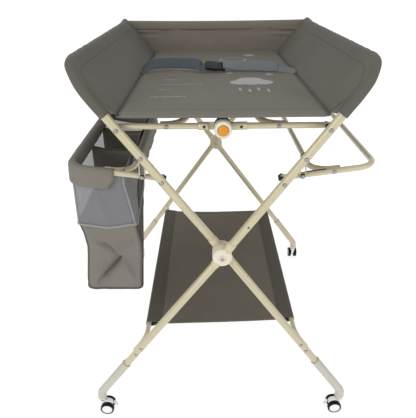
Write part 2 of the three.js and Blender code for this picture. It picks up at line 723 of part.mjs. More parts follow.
// The fabric side above a top tube, from the bed's edge up to the tube, on the inner side of the legs.
function wing(side) {
  const at = (along, off) => [
    side * (along * LEG_RUN - off * LEG_RISE),
    PIVOT_HEIGHT + along * LEG_RISE + off * LEG_RUN,
  ];
  const outline = [
    at(WING_START, WING_START_OFF),
    at(WING_TOP, WING_TOP_OFF),
    at(WING_TOP, WING_TOP_OFF + WING_THICKNESS),
    at(WING_START, WING_START_OFF + WING_THICKNESS),
  ];
  return plateXZ(outline, -WING_HALF_LENGTH, WING_HALF_LENGTH);
}

function endPanel() {
  const outline = [
    [-PANEL_BOTTOM_HALF, PANEL_BOTTOM_Z],
    [PANEL_BOTTOM_HALF, PANEL_BOTTOM_Z],
    [PANEL_TOP_HALF, PANEL_TOP_Z],
    [-PANEL_TOP_HALF, PANEL_TOP_Z],
  ];
  return plateXZ(outline, PANEL_Y, PANEL_Y + PANEL_THICKNESS);
}

// A flat strap from the bed's edge to one end of the buckle, raised as it is over a child.
function strap(side, endX) {
  const high = BED_TOP_Z + STRAP_RISE;
  const low = BED_TOP_Z + 1;
  const start = side * (BED_HALF_WIDTH - 4);
  const shoulder = side * (BED_HALF_WIDTH - 34);
  const t = STRAP_THICKNESS;
  const upper = [
    [start, low + t],
    [shoulder, high + t],
    [endX, high + t],
  ];
  const lower = [
    [endX, high],
    [shoulder + side * 1.5, high],
    [start, low],
  ];
  return plateXZ([...upper, ...lower], STRAP_Y - STRAP_WIDTH / 2, STRAP_Y + STRAP_WIDTH / 2);
}

const buckleMiddleZ = BED_TOP_Z + STRAP_RISE + STRAP_THICKNESS / 2;

function buckleSocket() {
  const halfY = BUCKLE_WIDTH / 2;
  const halfZ = BUCKLE_THICKNESS / 2;
  const right = BUCKLE_LEFT + BUCKLE_LENGTH;
  const [low, high] = [buckleMiddleZ - halfZ, buckleMiddleZ + halfZ];
  const body = box(BUCKLE_LEFT, STRAP_Y - halfY, low, right, STRAP_Y + halfY, high);
  const mouth = box(
    right - PRONG_LENGTH - 2,
    STRAP_Y - halfY + 4,
    buckleMiddleZ - 3,
    right + 5,
    STRAP_Y + halfY - 4,
    buckleMiddleZ + 3,
  );
  return welded([body], [mouth]);
}

function buckleTongue() {
  const halfY = BUCKLE_WIDTH / 2;
  const left = BUCKLE_LEFT + BUCKLE_LENGTH + TOUCH_GAP;
  const edge = halfY - 1;
  const [low, high] = [buckleMiddleZ - 4, buckleMiddleZ + 4];
  const body = box(left, STRAP_Y - edge, low, left + TONGUE_LENGTH, STRAP_Y + edge, high);
  const prongs = [-1, 1].map((side) => {
    const y = STRAP_Y + side * (halfY - 8);
    return box(left - PRONG_LENGTH, y - 3, buckleMiddleZ - 2.5, left + 1, y + 3, buckleMiddleZ + 2.5);
  });
  return welded([body, ...prongs]);
}

// ---- Basket ----

// A rectangle with its two front corners rounded.
function roundedRectangle(x0, y0, x1, y1, leftCorner, rightCorner) {
  const shape = new THREE.Shape();
  shape.moveTo(x0 + leftCorner, y0);
  shape.lineTo(x1 - rightCorner, y0);
  shape.absarc(x1 - rightCorner, y0 + rightCorner, rightCorner, -Math.PI / 2, 0, false);
  shape.lineTo(x1, y1);
  shape.lineTo(x0, y1);
  shape.lineTo(x0, y0 + leftCorner);
  shape.absarc(x0 + leftCorner, y0 + leftCorner, leftCorner, Math.PI, 1.5 * Math.PI, false);
  return shape;
}

// Hangs inside the left rail, between its outer run and its cross tube: open on top, in three compartments.
function basket() {
  const clear = RAIL_DIAMETER / 2 + 1;
  const outerRun = onRail(-1, RAIL_REACH, 0);
  const innerRun = onRail(-1, RAIL_TUBE_AT, 0);
  const x0 = outerRun.x + clear;
  const x1 = innerRun.x - clear;
  const y0 = -INNER_Y + RAIL_DIAMETER + clear;
  const top = outerRun.z - BASKET_BELOW_RAIL;
  const bottom = top - BASKET_HEIGHT;
  const corners = [RAIL_BEND - clear, CROSS_TUBE_BEND - clear]; // they follow the bends of the two tubes
  const body = plateXY(roundedRectangle(x0, y0, x1, BASKET_REAR_Y, ...corners), bottom, top);
  const stops = [y0, ...BASKET_DIVIDERS, BASKET_REAR_Y];
  const holes = stops.slice(1).map((to, i) => {
    const from = stops[i];
    const first = i === 0;
    const wall = BASKET_WALL;
    const inside = first ? corners.map((corner) => corner - wall) : [2, 2];
    const start = first ? from + wall : from + wall / 2;
    const end = to === BASKET_REAR_Y ? to - wall : to - wall / 2;
    const hollow = roundedRectangle(x0 + wall, start, x1 - wall, end, ...inside);
    return plateXY(hollow, bottom + wall, top + 5);
  });
  return welded([body], holes);
}

// ---- Assembly ----

[OUTER, INNER].forEach((frame) => {
  topTube(frame);
  [FRONT, REAR].forEach((end) => {
    const endName = end === FRONT ? "front" : "rear";
    const sideName = frame === OUTER ? "left" : "right";
    lowerLeg(frame, end, endName);
    hub(frame, end, endName);
    footElbow(frame, end, `${endName}_${sideName}`);
  });
});
hubBolt(FRONT, "front");
hubBolt(REAR, "rear");

caster("front_left", -FOOT_X, -LEG_Y, 0, true);
caster("front_right", FOOT_X, -LEG_Y, Math.PI, true);
caster("rear_left", -FOOT_X, LEG_Y, Math.PI / 2, false);
caster("rear_right", FOOT_X, LEG_Y, Math.PI / 2, false);

[false, true].forEach((mirrored) => {
  const endName = mirrored ? "rear" : "front";
  add(`hinge_knuckle_${endName}_left`, knuckle(-1), "darkPlastic", mirrored);
  add(`hinge_knuckle_${endName}_right`, knuckle(1), "darkPlastic", mirrored);
  add(`hinge_housing_${endName}`, hingeHousing(!mirrored), "plastic", mirrored);
  add(`crossbar_${endName}_left`, crossbarTube(-1), "tube", mirrored);
  add(`crossbar_${endName}_right`, crossbarTube(1), "tube", mirrored);
  add(`rail_link_${endName}_left`, link(-1), "tube", mirrored);
  add(`rail_link_${endName}_right`, link(1), "tube", mirrored);
});
add("release_button", releaseButton(), "orange");
add("bed_support_left", bedSupport(-1), "tube");
add("bed_support_right", bedSupport(1), "tube");

add("side_rail_left", sideRail(-1), "tube");
add("side_rail_right", sideRail(1), "tube");
add("rail_cross_tube_left", railCrossTube(-1), "tube");
add("rail_cross_tube_right", railCrossTube(1), "tube");
add("basket", basket(), "cloth");

add("shelf_tube_left", shelfTube(OUTER), "tube");
add("shelf_tube_right", shelfTube(INNER), "tube");
add("shelf_cloth", shelfCloth(), "cloth");

add("bed_left", bedHalf(-1), "cloth");
add("bed_right", bedHalf(1), "cloth");
add("wing_left", wing(-1), "cloth");
add("wing_right", wing(1), "cloth");
add("end_panel", endPanel(), "cloth");
add("strap_left", strap(-1, BUCKLE_LEFT - TOUCH_GAP), "webbing");
add("strap_right", strap(1, BUCKLE_LEFT + BUCKLE_LENGTH + 2 * TOUCH_GAP + TONGUE_LENGTH), "webbing");
add("buckle_socket", buckleSocket(), "darkPlastic");
add("buckle_tongue", buckleTongue(), "darkPlastic");

export default table;
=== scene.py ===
# Folding changing table: the looks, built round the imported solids.
import bpy
import math
from mathutils import Matrix, Vector, noise


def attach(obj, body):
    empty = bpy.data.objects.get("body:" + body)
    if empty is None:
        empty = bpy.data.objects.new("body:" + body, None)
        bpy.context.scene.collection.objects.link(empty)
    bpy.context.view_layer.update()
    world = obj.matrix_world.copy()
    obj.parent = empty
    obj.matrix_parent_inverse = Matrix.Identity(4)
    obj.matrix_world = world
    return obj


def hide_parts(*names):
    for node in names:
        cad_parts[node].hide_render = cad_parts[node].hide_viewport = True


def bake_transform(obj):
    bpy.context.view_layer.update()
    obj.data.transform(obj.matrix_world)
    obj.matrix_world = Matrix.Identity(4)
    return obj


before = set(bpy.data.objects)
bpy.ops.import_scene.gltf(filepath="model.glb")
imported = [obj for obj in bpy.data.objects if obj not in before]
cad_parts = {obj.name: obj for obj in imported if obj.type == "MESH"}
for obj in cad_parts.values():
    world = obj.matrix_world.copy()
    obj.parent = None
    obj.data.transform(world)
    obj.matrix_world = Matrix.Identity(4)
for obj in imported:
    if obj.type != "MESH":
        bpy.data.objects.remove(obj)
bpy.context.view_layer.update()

# ---- Leg frames ----
# Two U-shaped frames of 19 mm steel tube, bent cold and painted a satin champagne. The outer one has its
# top tube on the right, the inner one on the left, and they cross between two moulded hubs at each end.

LEG_ANGLE = math.radians(54)
RUN, RISE = math.cos(LEG_ANGLE), math.sin(LEG_ANGLE)
PIVOT_Z = 0.5335
LEG_Y = 0.388
SPREAD = 0.0135
UPPER = 0.524
FOOT_X = 0.334
FOOT = FOOT_X / RUN
TUBE = 0.0095
THIN_TUBE = 0.0065
LEG_START = 0.025  # how far from the pivot each leg tube starts, inside its hub's sleeve
LOWER_LENGTH = 0.542
TOP_BEND = 0.076
ENDS = (("front", -1), ("rear", 1))
SIDES = (("left", -1), ("right", 1))
FRAMES = (("outer_frame", 1), ("inner_frame", -1))


def upper_leg(side, along, end):
    """A point on an upper leg's centre-line; side 1 is the outer frame's, on the right."""
    depth = LEG_Y + side * SPREAD * (1 - along / UPPER)
    return Vector((side * along * RUN, end * depth, PIVOT_Z + along * RISE))


def lower_leg(side, along, end):
    """A point on a lower leg's centre-line, measured down from the pivot."""
    depth = LEG_Y + side * SPREAD * (1 - along / FOOT)
    return Vector((-side * along * RUN, end * depth, PIVOT_Z - along * RISE))


def bent(corners, radii, step=7.0):
    """The line through corners, with an arc of the given radius at each that has one."""
    line = []
    for i, corner in enumerate(corners):
        radius = radii[i] if i < len(radii) else 0
        if not radius:
            line.append(Vector(corner))
            continue
        into = (corner - corners[i - 1]).normalized()
        out = (corners[i + 1] - corner).normalized()
        angle = into.angle(out)
        start = corner - into * radius * math.tan(angle / 2)
        inward = (out - into * math.cos(angle)).normalized()
        steps = max(3, math.ceil(math.degrees(angle) / step))
        for k in range(steps + 1):
            turn = angle * k / steps
            line.append(start + inward * radius * (1 - math.cos(turn)) + into * radius * math.sin(turn))
    return line


class Form:
    """Vertices, faces and unwrapped lengths in metres, gathered part by part and made into one object."""

    def __init__(self):
        self.verts, self.faces, self.uvs, self.slots = [], [], [], []

    def grid(self, rows, close_rows=False, close_columns=False, uv=None, slot=0, flip=False):
        """A skin over rows of points. uv gives (u, v) in metres for a row and column."""
        base = len(self.verts)
        height, width = len(rows), len(rows[0])
        for row in rows:
            self.verts.extend(Vector(p) for p in row)
        for i in range(height if close_rows else height - 1):
            for j in range(width if close_columns else width - 1):
                ring = [(i, j), (i, j + 1), (i + 1, j + 1), (i + 1, j)]
                if flip:
                    ring.reverse()
                self.faces.append([base + (a % height) * width + b % width for a, b in ring])
                self.uvs.append([uv(a, b) if uv else (0.0, 0.0) for a, b in ring])
                self.slots.append(slot)
        return base

    def fan(self, base, count, flip=False, slot=0):
        """Closes one row of a skin with a single face."""
        ring = list(range(base, base + count))
        if flip:
            ring.reverse()
        self.faces.append(ring)
        self.uvs.append([(self.verts[i].x, self.verts[i].z) for i in ring])
        self.slots.append(slot)

    def sweep(self, line, radius, sides=20, closed=False, soft_end=0.0, slot=0):
        """A round bar along a line. radius may be a function of the share along it."""
        points = [Vector(p) for p in line]
        size = radius if callable(radius) else (lambda share: radius)
        count = len(points)
        ahead = [
            (points[(i + 1) % count if closed else min(i + 1, count - 1)]
             - points[(i - 1) % count if closed else max(i - 1, 0)]).normalized()
            for i in range(count)
        ]
        across = ahead[0].orthogonal().normalized()
        rows, lengths, run = [], [], 0.0
        stations = []
        for i, point in enumerate(points):
            across = (across - ahead[i] * across.dot(ahead[i])).normalized()
            if i:
                run += (point - points[i - 1]).length
            stations.append((point, ahead[i], across.copy(), size(i / max(count - 1, 1)), run))
        if soft_end and not closed:
            # three rings at each end round its edge off
            eased = [(0.0, soft_end), (soft_end * 0.3, soft_end * 0.3), (soft_end, 0.0)]
            point, direction, side, r, length = stations[0]
            stations[0:1] = [(point + direction * inset, direction, side, r - less, length)
                             for inset, less in eased]
            point, direction, side, r, length = stations[-1]
            stations[-1:] = [(point - direction * inset, direction, side, r - less, length)
                             for inset, less in reversed(eased)]
        for point, direction, side, r, length in stations:
            up = direction.cross(side)
            turns = [2 * math.pi * k / sides for k in range(sides)]
            rows.append([point + side * r * math.cos(a) + up * r * math.sin(a) for a in turns])
            lengths.append(length)
        girth = 2 * math.pi * size(0.5)
        base = self.grid(
            rows, close_rows=closed, close_columns=True, slot=slot,
            uv=lambda i, j: (lengths[i] if i < len(lengths) else run, girth * j / sides),
        )
        if not closed:
            self.fan(base, sides, flip=True, slot=slot)
            self.fan(base + sides * (len(rows) - 1), sides, slot=slot)
        return self

    def turned(self, profile, centre, axis, sides=32, slot=0):
        """A body turned about an axis. profile is (radius, distance along the axis), from end to end."""
        direction = Vector(axis).normalized()
        side = direction.orthogonal().normalized()
        up = direction.cross(side)
        rows = [
            [Vector(centre) + direction * along
             + (side * math.cos(2 * math.pi * k / sides) + up * math.sin(2 * math.pi * k / sides)) * radius
             for k in range(sides)]
            for radius, along in profile
        ]
        base = self.grid(rows, close_columns=True, slot=slot, uv=lambda i, j: (0.1 * j / sides, 0.01 * i))
        self.fan(base, sides, flip=True, slot=slot)
        self.fan(base + sides * (len(rows) - 1), sides, slot=slot)
        return self

    def make(self, name, *materials, sharp=38, body=None, stands_for=(), slot=None):
        mesh = bpy.data.meshes.new(name)
        mesh.from_pydata([tuple(v) for v in self.verts], [], self.faces)
        layer = mesh.uv_layers.new(name="cut")
        for face, polygon, slot_index in zip(self.uvs, mesh.polygons, self.slots):
            polygon.material_index = slot_index
            polygon.use_smooth = True
            for loop, uv in zip(polygon.loop_indices, face):
                layer.data[loop].uv = uv
        mesh.set_sharp_from_angle(angle=math.radians(sharp))
        mesh.update()
        piece = bpy.data.objects.new(name, mesh)
        bpy.context.scene.collection.objects.link(piece)
        for material in materials:
            mesh.materials.append(material)
        if body:
            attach(piece, body)
        if stands_for:
            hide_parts(*stands_for)
        return piece


def add_node(tree, kind, inputs=None, **settings):
    """A shader node of that kind, with its settings and the values of its inputs."""
    node = tree.nodes.new("ShaderNode" + kind)
    for key, value in settings.items():
        setattr(node, key, value)
    for key, value in (inputs or {}).items():
        node.inputs[key].default_value = value
    return node


def tones(tree, colour, mottle):
    """A mix between a darker and a lighter tone of a colour."""
    dark = (*[c * (1 - mottle) for c in colour], 1)
    light = (*[min(1.0, c * (1 + mottle)) for c in colour], 1)
    return add_node(tree, "Mix", {"A": dark, "B": light}, data_type="RGBA")


def hard_finish(name, colour, rough, metal=0.0, mottle=0.06, grain=900.0, bump=0.03, coat=0.0, worn=0.04):
    """Paint, plastic or metal: a little mottled in colour and gloss, with a fine surface grain."""
    material = bpy.data.materials.new(name)
    material.use_nodes = True
    tree = material.node_tree
    shader = tree.nodes["Principled BSDF"]
    shader.inputs["Metallic"].default_value = metal
    shader.inputs["Coat Weight"].default_value = coat
    shader.inputs["Coat Roughness"].default_value = 0.18
    place = add_node(tree, "TexCoord")
    cloud = add_node(tree, "TexNoise", {"Scale": 22.0, "Detail": 4.0})
    tint = tones(tree, colour, mottle)
    gloss = add_node(tree, "MapRange", {"To Min": rough - worn, "To Max": rough + worn})
    speck = add_node(tree, "TexNoise", {"Scale": grain, "Detail": 3.0})
    relief = add_node(tree, "Bump", {"Strength": bump, "Distance": 0.0004})
    link = tree.links.new
    link(place.outputs["Object"], cloud.inputs["Vector"])
    link(place.outputs["Object"], speck.inputs["Vector"])
    link(cloud.outputs["Fac"], tint.inputs["Factor"])
    link(tint.outputs["Result"], shader.inputs["Base Color"])
    link(cloud.outputs["Fac"], gloss.inputs["Value"])
    link(gloss.outputs["Result"], shader.inputs["Roughness"])
    link(speck.outputs["Fac"], relief.inputs["Height"])
    link(relief.outputs["Normal"], shader.inputs["Normal"])
    return material


champagne = hard_finish("champagne_paint", (0.545, 0.49, 0.33), 0.42, metal=0.15, bump=0.05, coat=0.25)
zinc = hard_finish("zinc_plate", (0.40, 0.40, 0.40), 0.28, metal=0.95, mottle=0.1)
# black plastic for spacers, nuts and plugs, also used as painted shadow round the rivet heads and in the
# drilled holes
black_and_painted_shadow = hard_finish("black_and_painted_shadow", (0.012, 0.012, 0.012), 0.5)


def rivet(form, point, out, radius, slot=0):
    """A domed rivet head with a dimple, in a thin dark ring of painted shadow that takes the second
    material.
    """
    profile = [
        (radius, 0.0), (radius, 0.0006), (radius * 0.93, 0.0013), (radius * 0.72, 0.0021),
        (radius * 0.45, 0.0025), (radius * 0.3, 0.0025), (radius * 0.2, 0.0018), (radius * 0.05, 0.0016),
    ]
    form.turned(profile, point, out, sides=18, slot=slot)
    # the thin black ring round the head is painted shadow
    painted_shadow_ring = [(radius * 1.16, 0), (radius * 1.15, 0.0004), (radius * 0.98, 0.0005)]
    form.turned(painted_shadow_ring, point, out, sides=18, slot=1)


CROSSBAR_ON_LEG, LINK_ON_LEG, RAIL_ON_LEG = 0.369, 0.293, 0.223
DRILLED_HOLE = 0.098
SHELF_SCREWS = (0.356, 0.381)
INNER_Y = 0.3625  # the crossbars' and rails' centre-lines
PIN_END_Y = 0.3545
FACE_Y, LINK_FACE_Y = 0.3693, 0.373  # where a spacer meets a crossbar, a rail or a link
PIN = 0.0022
for name, side in FRAMES:
    corners = [upper_leg(side, s, e) for s, e in ((LEG_START, -1), (UPPER, -1), (UPPER, 1), (LEG_START, 1))]
    Form().sweep(bent(corners, [0, TOP_BEND, TOP_BEND, 0]), TUBE, sides=28, soft_end=0.001).make(
        f"{name}_tube", champagne, body=name, stands_for=[f"{name}_top_tube"], slot="tube")
    fittings = Form()
    for end_name, end in ENDS:
        tube_ends = [lower_leg(side, along, end) for along in (LEG_START, LOWER_LENGTH)]
        Form().sweep(tube_ends, TUBE, sides=28, soft_end=0.001).make(
            f"{name}_leg_{end_name}", champagne, body=name, stands_for=[f"{name}_lower_leg_{end_name}"],
            slot="tube")
        for along in (CROSSBAR_ON_LEG, LINK_ON_LEG, RAIL_ON_LEG):
            at = upper_leg(side, along, end)
            rivet(fittings, at + Vector((0, end * (TUBE - 0.0006), 0)), (0, end, 0), 0.0043)
            crossing = along == CROSSBAR_ON_LEG and name == "inner_frame"
            reach = FACE_Y if along == LINK_ON_LEG else abs(at.y) - TUBE - 0.001 if crossing else PIN_END_Y
            pin = [at + Vector((0, -end * 0.004, 0)), Vector((at.x, end * reach, at.z))]
            fittings.sweep(pin, PIN, sides=12)
            if crossing:
                continue
            face = abs(at.y) - TUBE + 0.001
            width = face - (LINK_FACE_Y if along == LINK_ON_LEG else FACE_Y)
            spacer = [(0.0025, 0), (0.0055, 0), (0.0055, width), (0.0025, width)]
            fittings.turned(spacer, (at.x, end * face, at.z), (0, -end, 0), sides=20, slot=1)
            if along != LINK_ON_LEG:
                nut = [(PIN, 0.0), (0.0052, 0.0004), (0.0055, 0.0012), (0.0055, 0.0036), (0.005, 0.0044),
                       (PIN, 0.0046)]
                fittings.turned(nut, (at.x, end * PIN_END_Y, at.z), (0, -end, 0), sides=6, slot=1)
        for along in SHELF_SCREWS:
            at = lower_leg(side, along, end) + Vector((0, end * (TUBE - 0.0006), 0))
            rivet(fittings, at, (0, end, 0), 0.004)
        if name == "outer_frame":
            # a plain drilled hole above the hub, drawn as a black disc of painted shade so that it reads as
            # a dark dot
            at = upper_leg(side, DRILLED_HOLE, end) + Vector((0, end * (TUBE - 0.0002), 0))
            hole_shade_disc = [(0.0024, 0), (0.0024, 0.0004), (0.0014, 0.0004), (0.0008, 0.0002)]
            fittings.turned(hole_shade_disc, at, (0, end, 0), sides=14, slot=1)
    fittings.make(f"{name}_rivets", zinc, black_and_painted_shadow, body=name, slot="steel")

# ---- Hubs ----
# At each crossing two cream moulded hubs turn against each other on a steel bolt. A leg tube is pushed into
# a short sleeve above and below each of them, and the front face is slightly domed.

HUB, HUB_HALF = 0.0225, 0.0129
SOCKET, RIDGE = 0.0107, 0.0112
cream = hard_finish("cream_moulding", (0.70, 0.65, 0.52), 0.42, mottle=0.03, grain=500.0, coat=0.1)
# a darker cream: the leg sleeves' colour, and painted shade on the inner frame's hubs, the rear hinge cap
# and the rear elbows
sleeve_and_shade_cream = hard_finish("sleeve_and_shade_moulding", (0.60, 0.53, 0.37), 0.45, mottle=0.04, grain=500.0)
for name, side in FRAMES:
    for end_name, end in ENDS:
        middle = end * (LEG_Y + side * SPREAD)
        dome = [(HUB - 0.0012, -HUB_HALF), (HUB, 0.0012 - HUB_HALF)]
        dome += [(radius, HUB_HALF - drop) for radius, drop in (
            (HUB, 0.0062), (HUB - 0.0006, 0.0052), (HUB - 0.0022, 0.0042), (HUB * 0.75, 0.0026),
            (0.0098, 0.0012),
            (0.0094, 0.0018), (0.0078, 0.0018), (0.0074, 0), (0.0045, 0))]
        form = Form().turned(dome, (0, middle, PIVOT_Z), (0, end * side, 0), sides=48)
        # the inner frame's hubs, inboard of the outer ones, take the darker cream as painted shade
        form.make(f"{name}_disc_{end_name}", cream if side > 0 else sleeve_and_shade_cream, body=name,
                  stands_for=[f"{name}_hub_{end_name}"], slot="plastic")
        sockets = Form()
        for leg in (upper_leg, lower_leg):
            near, far = leg(side, 0.0165, end), leg(side, 0.04 if leg is upper_leg else 0.03, end)
            sockets.sweep([near, far], SOCKET, sides=28, soft_end=0.0008)
            ridge = [(SOCKET, -0.0008), (RIDGE, -0.0004), (RIDGE, 0.0004), (SOCKET, 0.0008)]
            sockets.turned(ridge, leg(side, 0.0215, end), (far - near).normalized(), sides=28)
        sockets.make(f"{name}_sockets_{end_name}", sleeve_and_shade_cream, body=name, slot="plastic")
for end_name, end in ENDS:
    bolt = Form()
    for outward in (1, -1):
        face, axis = (0, end * (LEG_Y + outward * 0.0266), PIVOT_Z), (0, end * outward, 0)
        head = [(0.0072, -0.001), (0.0072, 0.0004), (0.0066, 0.0012), (0.0046, 0.0014), (0.0042, 0.0008)]
        bolt.turned(head, face, axis, sides=28, slot=1)
        screw = [(0.0046, 0.0004), (0.0047, 0.0018), (0.0043, 0.0028), (0.003, 0.0033), (0.0018, 0.0033),
                 (0.0014, 0.0022), (0.0006, 0.002)]
        bolt.turned(screw, face, axis, sides=20)
    bolt.make(f"bolt_{end_name}", zinc, cream, body="outer_frame",
              stands_for=[f"pivot_bolt_{end_name}"], slot="steel")

# ---- Foot elbows ----
# Each lower leg ends in a pale moulded elbow, pushed over the tube and turned down to take a caster's stem.

pale_moulding = hard_finish("pale_moulding", (0.51, 0.485, 0.42), 0.38, mottle=0.04, grain=400.0, coat=0.15)
for name, side in FRAMES:
    foot_side = "left" if side > 0 else "right"
    for end_name, end in ENDS:
        corner = lower_leg(side, FOOT, end)
        ends = (lower_leg(side, 0.43, end), Vector((corner.x, corner.y, 0.054)))
        line = bent([ends[0], corner, ends[1]], [0, 0.026, 0], step=5)
        elbow = Form().sweep(line, lambda share: 0.0116 + 0.0004 * share, sides=32, soft_end=0.0016)
        lip = [(0.0112, -0.0016), (0.0121, -0.001), (0.0123, 0), (0.0121, 0.001), (0.0112, 0.0016)]
        elbow.turned(lip, lower_leg(side, 0.4315, end), line[1] - line[0], sides=32)
        elbow.turned([(0.0098, -0.0006), (0.0098, 0.0003), (0.0094, 0.0003)], lower_leg(side, 0.4298, end),
                     line[0] - line[1], sides=28, slot=1)
        collar = [(0.0126, 0.0), (0.0128, 0.001), (0.0126, 0.0024), (0.012, 0.003)]
        elbow.turned(collar, (corner.x, corner.y, 0.0545), (0, 0, 1), sides=32)
        # the rear elbows take the darker cream as painted shade; the front ones keep the pale moulding
        moulding = pale_moulding if end < 0 else sleeve_and_shade_cream
        elbow.make(f"elbow_{end_name}_{foot_side}", moulding, black_and_painted_shadow, body=name,
                   stands_for=[f"foot_elbow_{end_name}_{foot_side}"], slot="plastic")

# ---- Casters ----
# Twin-wheel furniture casters: black tyres on white discs either side of a glossy white body that swivels on
# a steel stem. The front pair have a white brake tab.

gloss_white = hard_finish("gloss_white", (0.83, 0.83, 0.81), 0.25, mottle=0.02, coat=0.3)
tyre_black = hard_finish("tyre_rubber", (0.006, 0.006, 0.007), 0.5, mottle=0.2, grain=700.0, bump=0.1)
tyre_black.node_tree.nodes["Principled BSDF"].inputs["Specular IOR Level"].default_value = 0.15
dark_trim = hard_finish("dark_trim", (0.016, 0.016, 0.017), 0.4)
WHEEL, HUB_OUT = 0.019, 0.012


def cheek(form, outline, centre, layers, stem, turn):
    """A flat moulding beside the wheels: its outline at each layer's offset, drawn in to its size."""
    rows = []
    for offset, size in layers:
        rows.append([
            stem + turn @ Vector((centre[0] + (x - centre[0]) * size, offset,
                                  centre[1] + (z - centre[1]) * size))
            for x, z in outline])
    base = form.grid(rows, close_columns=True, flip=True)
    form.fan(base, len(outline))
    form.fan(base + len(outline) * (len(rows) - 1), len(outline), flip=True)


for end_name, end in ENDS:
    for foot_side, x_sign in SIDES:
        stem = Vector((x_sign * FOOT_X, end * LEG_Y, 0))
        heading = math.pi / 2 if end > 0 else (0.0 if x_sign < 0 else math.pi)
        turn = Matrix.Rotation(heading, 3, "Z")
        body_name = f"caster_{end_name}_{foot_side}"
        axle = turn @ Vector((0, 1, 0))
        hub_at = stem + turn @ Vector((HUB_OUT, 0, WHEEL))
        wheels = Form()
        for way in (1, -1):
            tyre = [(0.0128, 0.0062), (0.0175, 0.0061), (0.0186, 0.0068), (WHEEL, 0.0083), (WHEEL, 0.0153),
                    (0.0186, 0.0168), (0.0176, 0.0176), (0.0156, 0.0178), (0.0148, 0.0172), (0.0145, 0.0164),
                    (0.0142, 0.0164)]
            wheels.turned(tyre, hub_at, axle * way, sides=40)
            cap = [(0.0146, 0.016), (0.0145, 0.0171), (0.0138, 0.0174), (0.0132, 0.0168), (0.0125, 0.0168),
                   (0.012, 0.0172), (0.006, 0.01745), (0.002, 0.01745)]
            wheels.turned(cap, hub_at, axle * way, sides=36, slot=1)
            wheels.turned([(0.003, 0), (0.003, 0.0062), (0.0028, 0.0064)], hub_at, axle * way, sides=14,
                          slot=2)
        wheels.make(f"wheels_{end_name}_{foot_side}", tyre_black, gloss_white, zinc,
                    body=f"wheels_{end_name}_{foot_side}",
                    stands_for=[f"caster_wheels_{end_name}_{foot_side}"], slot="rubber")
        # the body: a moulded cheek between the wheels, rounded over the top
        outline = [(-0.0085, 0.0425), (-0.0078, 0.038), (-0.0035, 0.027), (0.0015, 0.014), (0.0075, 0.0078),
                   (0.0165, 0.0078), (0.023, 0.0135), (0.0268, 0.0225), (0.0272, 0.031), (0.0252, 0.0365),
                   (0.0205, 0.0405), (0.012, 0.0428), (0.0, 0.0436)]
        layers = ((-0.0053, 0.92), (-0.0049, 0.98), (-0.0038, 1.0), (0.0038, 1.0), (0.0049, 0.98),
                  (0.0053, 0.92))
        fork = Form()
        cheek(fork, outline, (0.0095, 0.027), layers, stem, turn)
        neck = [(0.0088, 0.0405), (0.0093, 0.0415), (0.0095, 0.0445), (0.0095, 0.0505), (0.0088, 0.0524),
                (0.0045, 0.0528)]
        steel_stem = [(0.004, 0.05), (0.004, 0.0755), (0.0035, 0.076)]
        groove = [(0.0096, 0.0462), (0.0099, 0.0468), (0.0099, 0.0476), (0.0096, 0.0482)]
        for slot, (profile, sides) in enumerate(((neck, 28), (steel_stem, 18), (groove, 28))):
            fork.turned(profile, stem, (0, 0, 1), sides=sides, slot=slot)
        fork.make(f"caster_body_{end_name}_{foot_side}", gloss_white, zinc, dark_trim, body=body_name,
                  stands_for=[f"caster_fork_{end_name}_{foot_side}"], slot="white_plastic")
        if end < 0:
            tab = Form()
            side_line = [(0.0297, 0.0322), (0.0302, 0.0288), (0.0334, 0.0244), (0.038, 0.0202),
                         (0.0408, 0.0198),
                         (0.0412, 0.0215), (0.0385, 0.0242), (0.035, 0.0292), (0.0328, 0.0326),
                         (0.0312, 0.0336)]
            layers = ((-0.0035, 0.9), (-0.0031, 1.0), (0.0031, 1.0), (0.0035, 0.9))
            cheek(tab, side_line, (0.0352, 0.0268), layers, stem, turn)
            tab.make(f"brake_tab_{foot_side}", gloss_white, body=f"brake_front_{foot_side}",
                     stands_for=[f"caster_brake_front_{foot_side}"], slot="white_plastic")

# ---- Crossbars and hinge ----
# Under the bed, a thin crossbar at each end holds the legs apart. Its halves are riveted to the legs and
# meet in a hinge. The front hinge has an orange button that frees its lock.

